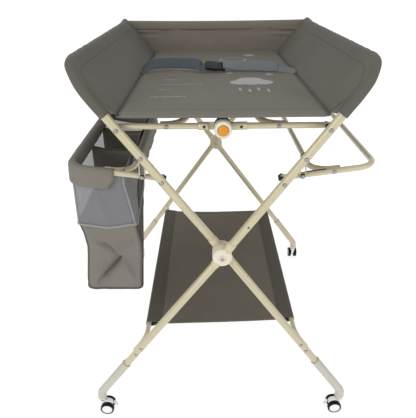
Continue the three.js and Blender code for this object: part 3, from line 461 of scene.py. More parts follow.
CROSS_Z = PIVOT_Z + CROSSBAR_ON_LEG * RISE
CROSS_X = CROSSBAR_ON_LEG * RUN
SLEEVE_RADIUS = 0.0085
orange = hard_finish("orange_button", (0.66, 0.25, 0.008), 0.38, mottle=0.05)
for end_name, end in ENDS:
    y = end * INNER_Y
    for side_name, side in SIDES:
        body_name = f"crossbar_{side_name}"
        bar_ends = [(side * x, y, CROSS_Z) for x in (0.0303, CROSS_X + 0.0075)]
        Form().sweep(bar_ends, THIN_TUBE, sides=24, soft_end=0.0008).make(
            f"crossbar_{end_name}_{side_name}_tube", champagne, body=body_name,
            stands_for=[f"crossbar_{end_name}_{side_name}"], slot="tube")
        # the sleeve: full round where it takes the bar, cut to half its thickness beside the hinge
        sleeve = Form()
        rows = []
        round_steps = [2 * math.pi * k / 24 for k in range(24)]
        for along, radius in ((0.0302, 0.0079), (0.0306, SLEEVE_RADIUS), (0.0502, SLEEVE_RADIUS),
                              (0.051, 0.0079),
                              (0.051, 0.0067), (0.0306, 0.0067)):
            rows.append([(side * along, y + radius * math.sin(a), CROSS_Z + radius * math.cos(a))
                         for a in round_steps])
        sleeve.grid(rows, close_rows=True, close_columns=True, flip=side < 0)
        # the right-hand half lies on the outer side of the hinge, the left-hand half on the inner side
        arc = [math.pi * (k / 12) for k in range(13)]
        rows = [[(side * along, y + end * side * (0.0003 + 0.0082 * math.sin(a)),
                  CROSS_Z + SLEEVE_RADIUS * math.cos(a))
                 for a in arc] for along in (0.006, 0.0308)]
        base = sleeve.grid(rows, close_columns=True, flip=end > 0)
        sleeve.fan(base, len(arc), flip=end < 0)
        sleeve.fan(base + len(arc), len(arc), flip=end > 0)
        rivet(sleeve, (side * 0.0385, y + end * 0.0083, CROSS_Z), (0, end, 0), 0.0026, slot=1)
        sleeve.make(f"hinge_sleeve_{end_name}_{side_name}", champagne, black_and_painted_shadow, body=body_name,
                    slot="tube")
        disc = [(0.0172, 0.00035), (0.0182, 0.0012), (0.0182, 0.0072), (0.0175, 0.008), (0.0052, 0.0081)]
        if side > 0:
            disc = [(0.0172, -0.00035), (0.0182, 0.0006), (0.0184, 0.0022), (0.0184, 0.0085),
                    (0.0178, 0.0096),
                    (0.0052, 0.0097)]
        Form().turned(disc, (0, y, CROSS_Z), (0, end * side, 0), sides=40).make(
            f"knuckle_disc_{end_name}_{side_name}", dark_trim, body=body_name,
            stands_for=[f"hinge_knuckle_{end_name}_{side_name}"], slot="dark_plastic")
    # the cap has a well for the button in front, and a flat face at the rear
    cap = [(0.0175, 0.0104), (0.0182, 0.0112), (0.01825, 0.029), (0.0178, 0.0318), (0.0166, 0.0338),
           (0.015, 0.0345)]
    if end < 0:
        cap += [(0.0121, 0.0345), (0.0114, 0.034), (0.0113, 0.0245), (0.006, 0.0243)]
    else:
        cap += [(0.012, 0.0342), (0.0112, 0.0334), (0.006, 0.0331), (0.002, 0.0331)]
    axle = [(0.0045, -0.0095), (0.0045, 0.0105)]
    back = [(0.0138, 0.0087), (0.014, 0.0094), (0.0138, 0.0135), (0.0125, 0.0144), (0.005, 0.0144)]
    head = [(0.0048, 0.0143), (0.0048, 0.0152), (0.0036, 0.0162), (0.0015, 0.0165)]
    housing = Form()
    for profile, way, sides, slot in ((cap, 1, 44, 0), (axle, 1, 20, 1), (back, -1, 36, 0),
                                      (head, -1, 18, 1)):
        housing.turned(profile, (0, y, CROSS_Z), (0, way * end, 0), sides=sides, slot=slot)
    # the rear cap takes the darker cream as painted shade
    housing.make(f"hinge_cap_{end_name}", cream if end < 0 else sleeve_and_shade_cream, zinc, body="crossbar_hinge",
                 stands_for=[f"hinge_housing_{end_name}"], slot="plastic")
profile = [(0.0108, 0.0290), (0.0109, 0.0345), (0.0106, 0.0362), (0.0098, 0.0374), (0.0078, 0.0381),
           (0.0073, 0.0379), (0.0068, 0.0381), (0.004, 0.0385), (0.001, 0.0386)]
button = Form().turned(profile, (0, -INNER_Y, CROSS_Z), (0, -1, 0), sides=40)
button.make("button", orange, body="release_button", stands_for=["release_button"], slot="button")

# ---- Bed supports ----
# Two thin tubes run from the front crossbar to the rear one under the bed, bent round at each end to lie
# beside the crossbar, where a rivet holds them.

LAP_Y = INNER_Y - 2 * THIN_TUBE - 0.0006
for side_name, side in SIDES:
    near, far, top = side * 0.076, side * 0.131, CROSS_Z + 0.014
    corners = [Vector(p) for p in (
        (far, -LAP_Y, CROSS_Z), (near, -LAP_Y, CROSS_Z), (near, -LAP_Y + 0.11, top),
        (near, LAP_Y - 0.11, top), (near, LAP_Y, CROSS_Z), (far, LAP_Y, CROSS_Z))]
    support = Form().sweep(bent(corners, [0, 0.045, 0.06, 0.06, 0.045, 0]), THIN_TUBE, sides=24,
                           soft_end=0.0012)
    support.make(f"support_{side_name}", champagne, body=f"crossbar_{side_name}",
                 stands_for=[f"bed_support_{side_name}"], slot="tube")
    heads = Form()
    for end_name, end in ENDS:
        at = Vector((side * 0.1165, end * INNER_Y, CROSS_Z))
        rivet(heads, at + Vector((0, end * (THIN_TUBE - 0.0004), 0)), (0, end, 0), 0.0039)
        rivet(heads, at + Vector((0, -end * (3 * THIN_TUBE + 0.0002), 0)), (0, -end, 0), 0.0036)
    heads.make(f"support_rivets_{side_name}", zinc, black_and_painted_shadow, body=f"crossbar_{side_name}", slot="steel")

# ---- Side rails ----
# A thin tube bent into a loop swings out on each side, from a rivet through each leg. A cross tube runs
# along its inner edge, and its inner ends are closed with black plugs.

RAIL_TILT = math.radians(7.5)
RAIL_OUT, RAIL_END, CROSS_TUBE_OUT, LINK_OUT = 0.205, -0.0075, 0.068, 0.044


def rail_point(side, out, y):
    """A point in the plane of a rail, that far out from its rivet."""
    return Vector((side * (RAIL_ON_LEG * RUN + out * math.cos(RAIL_TILT)), y,
                   PIVOT_Z + RAIL_ON_LEG * RISE + out * math.sin(RAIL_TILT)))


for side_name, side in SIDES:
    body_name = f"rail_{side_name}"
    corners = [rail_point(side, out, y) for out, y in (
        (RAIL_END, -INNER_Y), (RAIL_OUT, -INNER_Y), (RAIL_OUT, INNER_Y), (RAIL_END, INNER_Y))]
    Form().sweep(bent(corners, [0, 0.038, 0.038, 0], step=5), THIN_TUBE, sides=24, soft_end=0.001).make(
        f"rail_{side_name}_loop", champagne, body=body_name, stands_for=[f"side_rail_{side_name}"],
        slot="tube")
    corners = [rail_point(side, out, y) for out, y in (
        (0.13, -LAP_Y), (CROSS_TUBE_OUT, -LAP_Y), (CROSS_TUBE_OUT, LAP_Y), (0.13, LAP_Y))]
    Form().sweep(bent(corners, [0, 0.045, 0.045, 0], step=5), THIN_TUBE, sides=24, soft_end=0.0012).make(
        f"rail_{side_name}_cross", champagne, body=body_name, stands_for=[f"rail_cross_tube_{side_name}"],
        slot="tube")
    trim = Form()
    for end_name, end in ENDS:
        y = end * INNER_Y
        plug = [rail_point(side, out, y) for out in (-0.0079, -0.0022)]
        trim.sweep(plug, 0.0070, sides=20, soft_end=0.0008, slot=1)
        rivet(trim, rail_point(side, 0.1135, y + end * (THIN_TUBE - 0.0004)), (0, end, 0), 0.0039)
        screw = rail_point(side, LINK_OUT, y)
        trim.sweep([screw, screw + Vector((0, end * 0.0105, 0))], PIN, sides=12)
        trim.turned([(0.0024, 0), (0.0052, 0.0002), (0.0054, 0.0012), (0.0054, 0.002), (0.0024, 0.0021)],
                    screw + Vector((0, end * 0.0045, 0)), (0, end, 0), sides=18, slot=1)
        rivet(trim, screw + Vector((0, end * 0.0102, 0)), (0, end, 0), 0.0046)
        if side > 0:
            strip = [rail_point(side, out, y) + Vector((0, 0, THIN_TUBE - 0.0004)) for out in (0.052, 0.096)]
            trim.sweep(strip, 0.0019, sides=10, soft_end=0.0004, slot=1)
    trim.make(f"rail_{side_name}_trim", zinc, black_and_painted_shadow, body=body_name, slot="steel")

# ---- Rail links ----
# Each rail is held up at both ends by a long ring of bent wire, which hangs from a rivet in the leg and
# carries a screw in the rail.

WIRE = 0.00155
for side_name, side in SIDES:
    for end_name, end in ENDS:
        top, bottom = upper_leg(side, LINK_ON_LEG, end), rail_point(side, LINK_OUT, end * INNER_Y)
        y = end * (INNER_Y + THIN_TUBE + 0.0017)
        down = Vector((bottom.x - top.x, 0, bottom.z - top.z))
        length, down = down.length, down.normalized()
        across = Vector((0, 1, 0)).cross(down)
        slack, radius = 0.0018, 0.006
        line = []
        for centre, way in ((slack, 1), (length - slack, -1)):
            for a in (math.pi * k / 16 for k in range(17)):
                round_end = across * radius * math.cos(a) - down * radius * math.sin(a)
                line.append(Vector((top.x, y, top.z)) + down * centre + round_end * way)
        Form().sweep(line, WIRE, sides=12, closed=True).make(
            f"link_{end_name}_{side_name}_ring", champagne, body=f"link_{end_name}_{side_name}",
            stands_for=[f"rail_link_{end_name}_{side_name}"], slot="tube")

# ---- Bed ----
# A long thin pad in a taupe woven cover, folded along its middle. It lies on the two support tubes, its long
# edges meet the raised sides in a sunken seam, and its front edge has a stitched, puckered hem.

BED_HALF, BED_FRONT, BED_REAR = 0.2125, -0.389, 0.3990
BED_TOP, BED_UNDER = 0.8675, 0.8550


def woven(name, colour, rough=0.82, thread=0.0011, relief=0.35, mottle=0.12, sheen=0.06, alpha=1.0,
          crease=0.5):
    """Cloth: two sets of crossing threads, slubs in the yarn, and slow changes of tone as cloth has."""
    material = bpy.data.materials.new(name)
    material.use_nodes = True
    tree = material.node_tree
    shader = tree.nodes["Principled BSDF"]
    shader.inputs["Roughness"].default_value = rough
    shader.inputs["Specular IOR Level"].default_value = 0.2
    shader.inputs["Sheen Weight"].default_value = sheen
    shader.inputs["Sheen Roughness"].default_value = 0.5
    shader.inputs["Alpha"].default_value = alpha
    link = tree.links.new
    cut = add_node(tree, "UVMap", uv_map="cut")
    place = add_node(tree, "TexCoord")
    threads = []
    for direction in ("X", "Y"):
        bands = {"Scale": math.pi / 10 / thread, "Distortion": 1.2, "Detail": 1.0}
        threads.append(add_node(tree, "TexWave", bands, bands_direction=direction))
        link(cut.outputs["UV"], threads[-1].inputs["Vector"])
    weave = add_node(tree, "Math", operation="MAXIMUM")
    slow = add_node(tree, "TexNoise", {"Scale": 7.0, "Detail": 5.0, "Roughness": 0.55})
    slub = add_node(tree, "TexNoise", {"Scale": 260.0, "Detail": 2.0})
    blend = add_node(tree, "Math", {1: 0.35}, operation="MULTIPLY_ADD")
    tint = tones(tree, colour, mottle)
    yarn = add_node(tree, "Mix", data_type="RGBA", blend_type="MULTIPLY")
    yarn.inputs["Factor"].default_value = 0.3
    height = add_node(tree, "Math", {1: 0.3}, operation="MULTIPLY_ADD")
    bump = add_node(tree, "Bump", {"Strength": relief, "Distance": 0.0003})
    drift = add_node(tree, "Bump", {"Strength": crease, "Distance": 0.004})
    link(threads[0].outputs["Fac"], weave.inputs[0])
    link(threads[1].outputs["Fac"], weave.inputs[1])
    link(place.outputs["Object"], slow.inputs["Vector"])
    link(place.outputs["Object"], slub.inputs["Vector"])
    link(slub.outputs["Fac"], blend.inputs[0])
    link(slow.outputs["Fac"], blend.inputs[2])
    link(blend.outputs["Value"], tint.inputs["Factor"])
    link(tint.outputs["Result"], yarn.inputs["A"])
    link(weave.outputs["Value"], yarn.inputs["B"])
    link(yarn.outputs["Result"], shader.inputs["Base Color"])
    link(weave.outputs["Value"], height.inputs[0])
    link(slub.outputs["Fac"], height.inputs[2])
    link(height.outputs["Value"], bump.inputs["Height"])
    link(slow.outputs["Fac"], drift.inputs["Height"])
    link(drift.outputs["Normal"], bump.inputs["Normal"])
    link(bump.outputs["Normal"], shader.inputs["Normal"])
    return material


taupe = woven("bed_cloth", (0.150, 0.137, 0.115))
thread = woven("sewing_thread", (0.115, 0.105, 0.088), rough=0.6, thread=0.0004, crease=0.0)
# the bed cloth a little lighter: painted highlight along the front edge
highlit_hem_cloth = woven("bed_hem", (0.160, 0.147, 0.125), rough=0.7, sheen=0.1)


def waver(x, y, z, size, seed=0.0):
    """A smooth random height from -1 to 1 with lumps of the given size."""
    return noise.noise(Vector((x / size + seed, y / size - seed, z / size + 2 * seed)))


def ease(value):
    """A smooth step from 0 to 1."""
    value = min(1.0, max(0.0, value))
    return value * value * (3 - 2 * value)


def stitches(form, line, pitch=0.0042, slot=0):
    """A row of short raised threads along a line."""
    points = [Vector(p) for p in line]
    left_over = 0.0
    for a, b in zip(points, points[1:]):
        length = (b - a).length
        at = left_over
        while at + 0.6 * pitch < length:
            form.sweep([a.lerp(b, at / length), a.lerp(b, (at + 0.6 * pitch) / length)], 0.00032, sides=5,
                       slot=slot)
            at += pitch
        left_over = max(0.0, at - length)
    return form


def with_bed(piece):
    """Bakes a bed piece's placement into its mesh."""
    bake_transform(piece)


def give_thickness(piece, thickness, offset=0.0, seamed=False):
    """Makes a skin as thick as its cloth. seamed first joins skins that share an edge."""
    if seamed:
        seam = piece.modifiers.new("seam", "WELD")
        seam.merge_threshold = 0.00005
    cloth = piece.modifiers.new("cloth", "SOLIDIFY")
    cloth.thickness, cloth.offset = thickness, offset


def bed_top(x, y):
    """Height of the pad's upper side: a slack crown, soft dents, and the roll at its edges."""
    side = ease((BED_HALF - abs(x)) / 0.012)
    front = ease((y - BED_FRONT) / 0.016)
    rear = ease((BED_REAR - y) / 0.012)
    crown = 0.0010 * (1 - (x / BED_HALF) ** 2) - 0.0006 * ease(1 - abs(x) / 0.012)
    dents = 0.0009 * waver(x, y, 0, 0.11, 3.1) + 0.0004 * waver(x, y, 0, 0.035, 7.7)
    pucker = 0.0006 * waver(x, 0, 0, 0.011, 2.0) * math.exp(-((y - BED_FRONT - 0.014) / 0.010) ** 2)
    dip = -0.0006 * math.exp(-((y - BED_FRONT - 0.0165) / 0.0022) ** 2)
    rolled = 0.0060 * (1 - side) + 0.0042 * (1 - front) + 0.003 * (1 - rear)
    return BED_TOP - rolled + (crown + dents + dip) * side * rear + pucker


def bed_under(x, y):
    """Height of the pad's lower side, which curves up at its edges."""
    into_pad = (BED_HALF - abs(x), y - BED_FRONT, BED_REAR - y)
    rise = sum(0.0035 * (1 - ease(distance / 0.006)) for distance in into_pad)
    return BED_UNDER + rise + 0.0004 * waver(x, y, 1, 0.06)


for side_name, side in SIDES:
    pad = Form()
    xs = [side * BED_HALF * (i / 30) for i in range(27)]
    xs += [side * (BED_HALF - d) for d in (0.018, 0.012, 0.008, 0.005, 0.0025, 0.0008, 0.0)]
    ys = [BED_FRONT + d for d in (0.0, 0.0008, 0.002, 0.004, 0.007, 0.011, 0.0145, 0.0165, 0.0185, 0.024)]
    ys += [BED_FRONT + 0.024 + (BED_REAR - 0.012 - BED_FRONT - 0.024) * k / 70 for k in range(1, 71)]
    ys += [BED_REAR - d for d in (0.007, 0.004, 0.002, 0.0008, 0.0)]
    top_rows = [[(x, y, bed_top(x, y)) for x in xs] for y in ys]
    low_rows = [[(x, y, bed_under(x, y)) for x in xs] for y in ys]
    pad.grid(top_rows, uv=lambda i, j: (xs[j], ys[i]), flip=side < 0)
    pad.grid(low_rows, uv=lambda i, j: (xs[j], ys[i]), flip=side > 0)
    for edge, turned in ((0, True), (-1, False)):
        across = [[top_rows[edge][j], low_rows[edge][j]] for j in range(len(xs))]
        pad.grid(across, uv=lambda i, j: (xs[i], ys[edge] + 0.008 * j), flip=turned != (side < 0))
        along = [[top_rows[i][edge], low_rows[i][edge]] for i in range(len(ys))]
        pad.grid(along, uv=lambda i, j: (xs[edge] + 0.008 * j, ys[i]), flip=turned == (side < 0))
    bed = pad.make(f"bed_pad_{side_name}", taupe, sharp=70, stands_for=[f"bed_{side_name}"], slot="cloth")
    with_bed(bed)

    # the hem: a bound edge rolled over the front of the pad, a little lighter than the bed as painted
    # highlight along the front edge
    hem = Form()
    stations = [side * (BED_HALF - 0.004) * k / 60 for k in range(61)]
    rows = []
    for x in stations:
        puck = 0.0005 * waver(x, 0, 0, 0.012, 5.0) + 0.0005 * waver(x, 0, 0, 0.05, 5.0)
        sag = -0.0022 * (1 - (x / BED_HALF) ** 2)
        front_top = bed_top(x, BED_FRONT)
        section = (
            (0.0150, bed_top(x, BED_FRONT + 0.0150) + 0.0003),
            (0.0100, bed_top(x, BED_FRONT + 0.0100) + 0.0008 + puck),
            (0.0040, bed_top(x, BED_FRONT + 0.0040) + 0.0010 + puck),
            (0.0005, front_top + 0.0012 + puck), (-0.0012, front_top - 0.0006),
            (-0.0014, BED_UNDER + 0.0065 + sag + puck), (-0.0006, BED_UNDER + 0.0044 + sag + puck),
            (0.0020, BED_UNDER + 0.0030 + sag), (0.0120, BED_UNDER - 0.0003))
        rows.append([(x, BED_FRONT + back, z) for back, z in section])
    hem.grid(rows, uv=lambda i, j: (stations[i], 0.004 * j), flip=side < 0)
    binding = hem.make(f"bed_hem_{side_name}", highlit_hem_cloth, sharp=80, slot="cloth")
    with_bed(binding)
    seam_y = BED_FRONT + 0.0125
    sewn = stitches(Form(), [(x, seam_y, bed_top(x, seam_y) + 0.0009) for x in stations]).make(
        f"bed_stitches_{side_name}", thread, sharp=80, slot="cloth")
    with_bed(sewn)

# ---- Print on the bed ----
# A pale screen print in the cloth: rows of short dashes on the left, and plain clouds, drops and stars on
# the right. The ink lies flat on the weave.

ink = woven("screen_ink", (0.38, 0.38, 0.375), rough=0.7, relief=0.2, mottle=0.06, sheen=0.0, crease=0.2)
INK_LIFT = 0.0004
motifs = {"left": [], "right": []}


def outline_round(cx, cy, lobes):
    """The outline of overlapping circles, as seen from their middle."""
    ring = []
    for k in range(96):
        a = 2 * math.pi * k / 96
        far = 0.0
        for lx, ly, r in lobes:
            along = lx * math.cos(a) + ly * math.sin(a)
            off = lx * lx + ly * ly - along * along
            if r * r > off:
                far = max(far, along + math.sqrt(r * r - off))
        ring.append((cx + far * math.cos(a), cy + far * math.sin(a)))
    return ring


def star(cx, cy, size, turn=0.0, points=5):
    ring = []
    for k in range(2 * points):
        far, a = size * (0.45 if k % 2 else 1), turn + math.pi * k / points
        ring.append((cx + far * math.cos(a), cy + far * math.sin(a)))
    return ring


def dash(cx, cy, length, height):
    corners = ((-0.9, -1), (0.9, -1), (1, -0.5), (1, 0.5), (0.9, 1), (-0.9, 1), (-1, 0.5), (-1, -0.5))
    return [(cx + dx * length / 2, cy + dy * height / 2) for dx, dy in corners]


def inked(x, y):
    return (x, y, bed_top(x, y) + INK_LIFT)


DASH_ROWS = (  # depth, first dash, number of dashes, length of one
    (0.050, -0.118, 6, 0.0052), (0.018, -0.128, 4, 0.0052), (-0.030, -0.133, 11, 0.0056),
    (-0.085, -0.138, 4, 0.0056), (-0.140, -0.142, 12, 0.0060), (-0.195, -0.148, 4, 0.0060),
    (-0.262, -0.156, 9, 0.0064))
for row, (y, start, count, length) in enumerate(DASH_ROWS):
    for k in range(count):
        size = length * (1.0 + 0.25 * math.sin(2.3 * k + row))
        motifs["left"].append(dash(start + k * length * 1.45, y, size, 0.0042 + 0.001 * (k % 2)))
cloud_lobes = [(-0.028, -0.006, 0.025), (0.0, 0.014, 0.036), (0.029, -0.004, 0.027), (0.0, -0.010, 0.024)]
motifs["right"].append(outline_round(0.078, -0.118, cloud_lobes))
motifs["right"].append(star(0.136, -0.030, 0.017, 0.3))
motifs["right"].append(star(0.028, -0.012, 0.012, 0.9))
motifs["right"] += [dash(0.046 + 0.022 * k, -0.198 - 0.012 * (k % 2), 0.006, 0.026) for k in range(4)]
motifs["right"].append(star(0.107, 0.282, 0.026, 0.2, points=6))
# the small cloud is only an outline, laid as short quads
small_x, small_y = 0.048, 0.205
ring_out = outline_round(small_x, small_y, [(-0.022, -0.004, 0.020), (0.0, 0.008, 0.026),
                                            (0.024, -0.003, 0.021)])
for k, a in enumerate(ring_out):
    b = ring_out[(k + 1) % len(ring_out)]
    inner = [(small_x + (p[0] - small_x) * 0.86, small_y + (p[1] - small_y) * 0.86) for p in (a, b)]
    motifs["right"].append([a, b, inner[1], inner[0]])
for side_name, side in SIDES:
    decal = Form()
    for ring in motifs[side_name]:
        cx, cy = (sum(p[i] for p in ring) / len(ring) for i in (0, 1))
        if len(ring) == 4:
            quad = [inked(*p) for p in ring]
            decal.grid([[quad[0], quad[1]], [quad[3], quad[2]]], uv=lambda i, j: (0.002 * i, 0.002 * j),
                       flip=True)
            continue
        steps = 6 if len(ring) > 30 else 2
        shares = [max(0.002, k / steps) for k in range(steps + 1)]
        rows = [[inked(cx + (x - cx) * share, cy + (y - cy) * share) for x, y in ring] for share in shares]
        decal.grid(rows, close_columns=True, uv=lambda i, j: rows[i][j % len(ring)][:2], flip=True)
    printed = decal.make(f"bed_print_{side_name}", ink, sharp=80, slot="cloth")
    with_bed(printed)

# ---- Raised sides ----
# One panel of the same cloth rises from each long edge of the bed to the top tube. Its front edge and its
# upper edge are sewn back into a sleeve that the tube runs through, and its rear corner stands to a point.

SLEEVE = 0.0112
SEAM_U, SEAM_V = 0.3960, 0.0218  # the seam with the bed: how far up the leg's line, and how far off it
BEND_U = UPPER - TOP_BEND
BEND_Y = 0.312
POINT_Y = 0.086  # how far the rear point stands past the bend
UNDER_BED = ((0.2040, 0.8588), (0.2100, 0.8590), (0.2130, 0.8598), (0.2143, 0.8618), (0.2147, 0.8645))
# the bed's cloth in a darker tone, painted shade on the raised sides
shaded_side_cloth = woven("shaded_side_cloth", (0.118, 0.110, 0.092))


def in_plane(side, u, v, y):
    """A point by its distance along the leg, its distance off the leg towards the bed, and its depth."""
    return Vector((side * (u * RUN - v * RISE), y, PIVOT_Z + u * RISE + v * RUN))


def sleeve_edge(side):
    """(u, y, sleeve radius, way outwards) along the front leg, the bend, the top tube and the rear point."""
    edge = []
    for k in range(9):
        u = 0.400 + 0.048 * k / 9
        edge.append((u, upper_leg(side, u, -1).y, SLEEVE, (0.0, -1.0)))
    for a in (math.pi / 2 * k / 14 for k in range(15)):
        depth = BEND_Y + math.cos(a) * (upper_leg(side, BEND_U, 1).y - BEND_Y)
        edge.append((BEND_U + TOP_BEND * math.sin(a), -depth, SLEEVE, (math.sin(a), -math.cos(a))))
    for k in range(1, 49):
        edge.append((UPPER, BEND_Y * (k / 24 - 1), SLEEVE, (1.0, 0.0)))
    for t in (k / 8 for k in range(1, 9)):
        edge.append((UPPER + 0.006 * t, BEND_Y + POINT_Y * t, SLEEVE * (1 - 0.05 * t), (1.0, 0.0)))
    return edge


for side_name, side, body_name in (("left", -1, "inner_frame"), ("right", 1, "outer_frame")):
    edge = sleeve_edge(side)
    panel = Form()
    rows, wraps = [], []
    count = len(edge)
    for k, (u, y, radius, (out_u, out_y)) in enumerate(edge):
        foot_y = y if k > 9 else -0.388 + 0.009 * k / 9
        foot_y = min(max(foot_y, -0.3885 + 0.0006 * k), 0.3975)
        wrinkle = 0.0006 * waver(y, u, side, 0.018, 4.0) + 0.0004 * math.sin(y * 160)
        r = radius + 0.0005 * waver(y, u, 0.3 * side, 0.03, 9.0)
        row = [Vector((side * x, foot_y, z)) for x, z in UNDER_BED]
        for t in (step / 18 for step in range(19)):
            pu = SEAM_U + (u - SEAM_U) * t
            py = foot_y + (y - foot_y) * t
            flat_v = SEAM_V + (r - SEAM_V) * ease(t) * 0.6 + (r - SEAM_V) * t * 0.4
            slack = math.sin(math.pi * t) * ease((py + 0.395) / 0.12) * ease((0.36 - py) / 0.12)
            ripple = 0.0010 * waver(py, pu, 0, 0.07, 2.0) + 0.0004 * waver(py, pu, 0, 0.022, 6.0)
            row.append(in_plane(side, pu, flat_v - 0.0062 * slack + ripple * slack, py))
        rows.append(row)
        if k < 1:
            continue
        # round the tube, and then back along the underside to where the sleeve is sewn
        around = [row[-1]]
        for a in (math.pi / 2 - math.pi * step / 10 for step in range(1, 11)):
            swell = r + wrinkle * math.cos(a)
            reach = swell * math.cos(a)
            around.append(in_plane(side, u + out_u * reach, swell * math.sin(a), y + out_y * reach))
        fold = 0.028 + 0.062 * ease((y - 0.30) / 0.09)
        for back in (step / 6 * fold for step in range(1, 7)):
            under_v = min(0.0052, -r + (SEAM_V * 0.5 + r) * ease(back / 0.05) * 0.7) if y < 0.30 else -0.0108
            around.append(in_plane(side, u - out_u * back, under_v, y - out_y * back))
        wraps.append(around)
    lengths = [0.0]
    for k in range(1, count):
        lengths.append(lengths[-1] + math.hypot(edge[k][0] - edge[k - 1][0], edge[k][1] - edge[k - 1][1]))
    panel.grid(rows, uv=lambda i, j: (lengths[i], 0.128 * j / 23), flip=side < 0)
    first = count - len(wraps)
    panel.grid(wraps, uv=lambda i, j: (lengths[first + i], 0.128 + 0.0035 * j), flip=side < 0)
    wing = panel.make(f"side_panel_{side_name}", shaded_side_cloth, sharp=80, body=body_name,
                      stands_for=[f"wing_{side_name}"], slot="cloth")
    give_thickness(wing, 0.0011, offset=-1.0, seamed=True)
    towards_bed = in_plane(side, 0, 0.0006, 0) - in_plane(side, 0, 0, 0)
    sewn = stitches(Form(), [row[20] + towards_bed for row in rows[1:]])
    sewn.make(f"side_stitches_{side_name}", thread, sharp=80, body=body_name, slot="cloth")

# ---- End panel ----
# The rear end is closed by a panel of the same cloth, hung between the points of the two sides. Its top edge
# has a wide hem that carries a tape, and it pulls into creases near the corners.

PANEL_LOW, PANEL_HIGH = 0.8610, 0.9655
PANEL_FOOT_HALF, PANEL_TOP_HALF = 0.2130, 0.3185
# the bed's cloth in a lighter tone, painted light on the end panel
lit_end_cloth = woven("lit_end_cloth", (0.225, 0.200, 0.160))
panel = Form()
HEM = 0.027
heights = [k / 26 for k in range(27)]
across = [-1 + 2 * k / 90 for k in range(91)]
rows = []
for h in heights:
    row = []
    for s in across:
        half = PANEL_FOOT_HALF + (PANEL_TOP_HALF - PANEL_FOOT_HALF) * h
        sag = -0.0030 * (1 - s * s) * h
        z = PANEL_LOW + (PANEL_HIGH - PANEL_LOW) * h + sag
        y = 0.3985 + 0.0025 * h
        below_hem = z - (PANEL_HIGH - HEM)
        ridge = 0.0016 * math.exp(-(below_hem / 0.0045) ** 2)
        pull = ease((abs(s) - 0.55) / 0.4)
        creases = 0.0024 * pull * math.sin((z - 0.93) * 330 + 2.2 * s) * ease((h - 0.35) / 0.3)
        loose = 0.0016 * waver(s * 0.3, z, 0, 0.06, 1.0) * math.sin(math.pi * min(1, h * 1.05))
        row.append((s * half, y - ridge + creases + loose, z))
    rows.append(row)
panel.grid(rows, uv=lambda i, j: (across[j] * 0.27, heights[i] * 0.1))
hem_rows = []
half, low_half = PANEL_TOP_HALF, PANEL_TOP_HALF - HEM * 1.06
for s in across:
    z = PANEL_HIGH - 0.0030 * (1 - s * s)
    wave = 0.0007 * waver(s * 0.4, 0, 0, 0.03, 8.0)
    pull = 0.0022 * ease((abs(s) - 0.7) / 0.3)
    section = (
        (low_half, wave - 0.0021, -HEM - pull), (low_half + 0.004, wave - 0.0026, 0.004 - HEM - pull),
        (half - 0.012, wave - 0.0030, -0.012), (half - 0.003, wave - 0.0026, -0.003),
        (half, -0.0010, 0.0009),
        (half, 0.0008, 0.0009), (half - 0.004, 0.0022 - wave, -0.004),
        (low_half + 0.004, 0.0022 - wave, 0.004 - HEM),
        (low_half, 0.0012, -HEM))
    hem_rows.append([(s * out, 0.4010 + back, z + rise) for out, back, rise in section])
panel.grid(hem_rows, uv=lambda i, j: (across[i] * 0.32, 0.1 + 0.006 * j))
rear = panel.make("end_panel_cloth", lit_end_cloth, sharp=80, stands_for=["end_panel"], slot="cloth")
give_thickness(rear, 0.0010)
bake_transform(rear)
sewn = stitches(Form(), [Vector(row[1]) + Vector((0, -0.0007, -0.001)) for row in hem_rows]).make(
    "end_panel_stitches", thread, sharp=80, slot="cloth")
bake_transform(sewn)

# ---- Strap and buckle ----
# Grey-blue webbing comes out of the seam on each side of the bed and joins over it in a black side-release
# buckle. The left strap arches up off the bed, and the right one lies down again behind the buckle.

STRAP_Y = 0.010
STRAP_WIDTH = 0.028
ribbed = dict(rough=0.6, thread=0.0024, relief=0.9, mottle=0.1, sheen=0.1, crease=0.0)
webbing = woven("strap_webbing", (0.078, 0.094, 0.108), **ribbed)
pale_webbing = woven("strap_webbing_pale", (0.165, 0.180, 0.190), **ribbed)
buckle_black = hard_finish("buckle_black", (0.005, 0.005, 0.005), 0.45, mottle=0.1, grain=600.0)


def smooth_line(points, steps=8):
    """A soft line through points (x, y, z, lean), by Catmull-Rom."""
    line = []
    padded_points = [points[0], *points, points[-1]]
    for i in range(1, len(padded_points) - 2):
        a, b, c, d = padded_points[i - 1:i + 3]
        for k in range(steps if i < len(padded_points) - 3 else steps + 1):
            t = k / steps
            place = []
            for p, q, r, s in zip(a, b, c, d):
                square, cubic = 2 * p - 5 * q + 4 * r - s, 3 * q - p - 3 * r + s
                place.append(0.5 * (2 * q + (r - p) * t + square * t * t + cubic * t ** 3))
            line.append(place)
    return line


def strap(form, stations, thick):
    """Flat webbing with rounded selvedges, through stations (x, y past STRAP_Y, z, lean in degrees)."""
    line = smooth_line([(x, STRAP_Y + past, z, lean) for x, past, z, lean in stations])
    width = STRAP_WIDTH
    rows, run = [], 0.0
    lengths = []
    for i, (x, y, z, lean) in enumerate(line):
        here = Vector((x, y, z))
        if i:
            run += (here - Vector(line[i - 1][:3])).length
        lengths.append(run)
        nxt, prv = Vector(line[min(i + 1, len(line) - 1)][:3]), Vector(line[max(i - 1, 0)][:3])
        ahead = (nxt - prv).normalized()
        wide = Vector((0, math.cos(math.radians(lean)), math.sin(math.radians(lean))))
        wide = (wide - ahead * wide.dot(ahead)).normalized()
        face = ahead.cross(wide)
        upper = [(-0.5, 0), (-0.47, 0.4), (-0.40, 0.5), (-0.2, 0.5), (0, 0.5), (0.2, 0.5), (0.40, 0.5),
                 (0.47, 0.4)]
        section = upper + [(-a, -b) for a, b in upper]
        rows.append([here + wide * width * a + face * thick * b for a, b in section])
    base = form.grid(rows, close_columns=True, uv=lambda i, j: (lengths[i], width * (j % 16) / 8))
    form.fan(base, 16, flip=True)
    form.fan(base + 16 * (len(rows) - 1), 16)


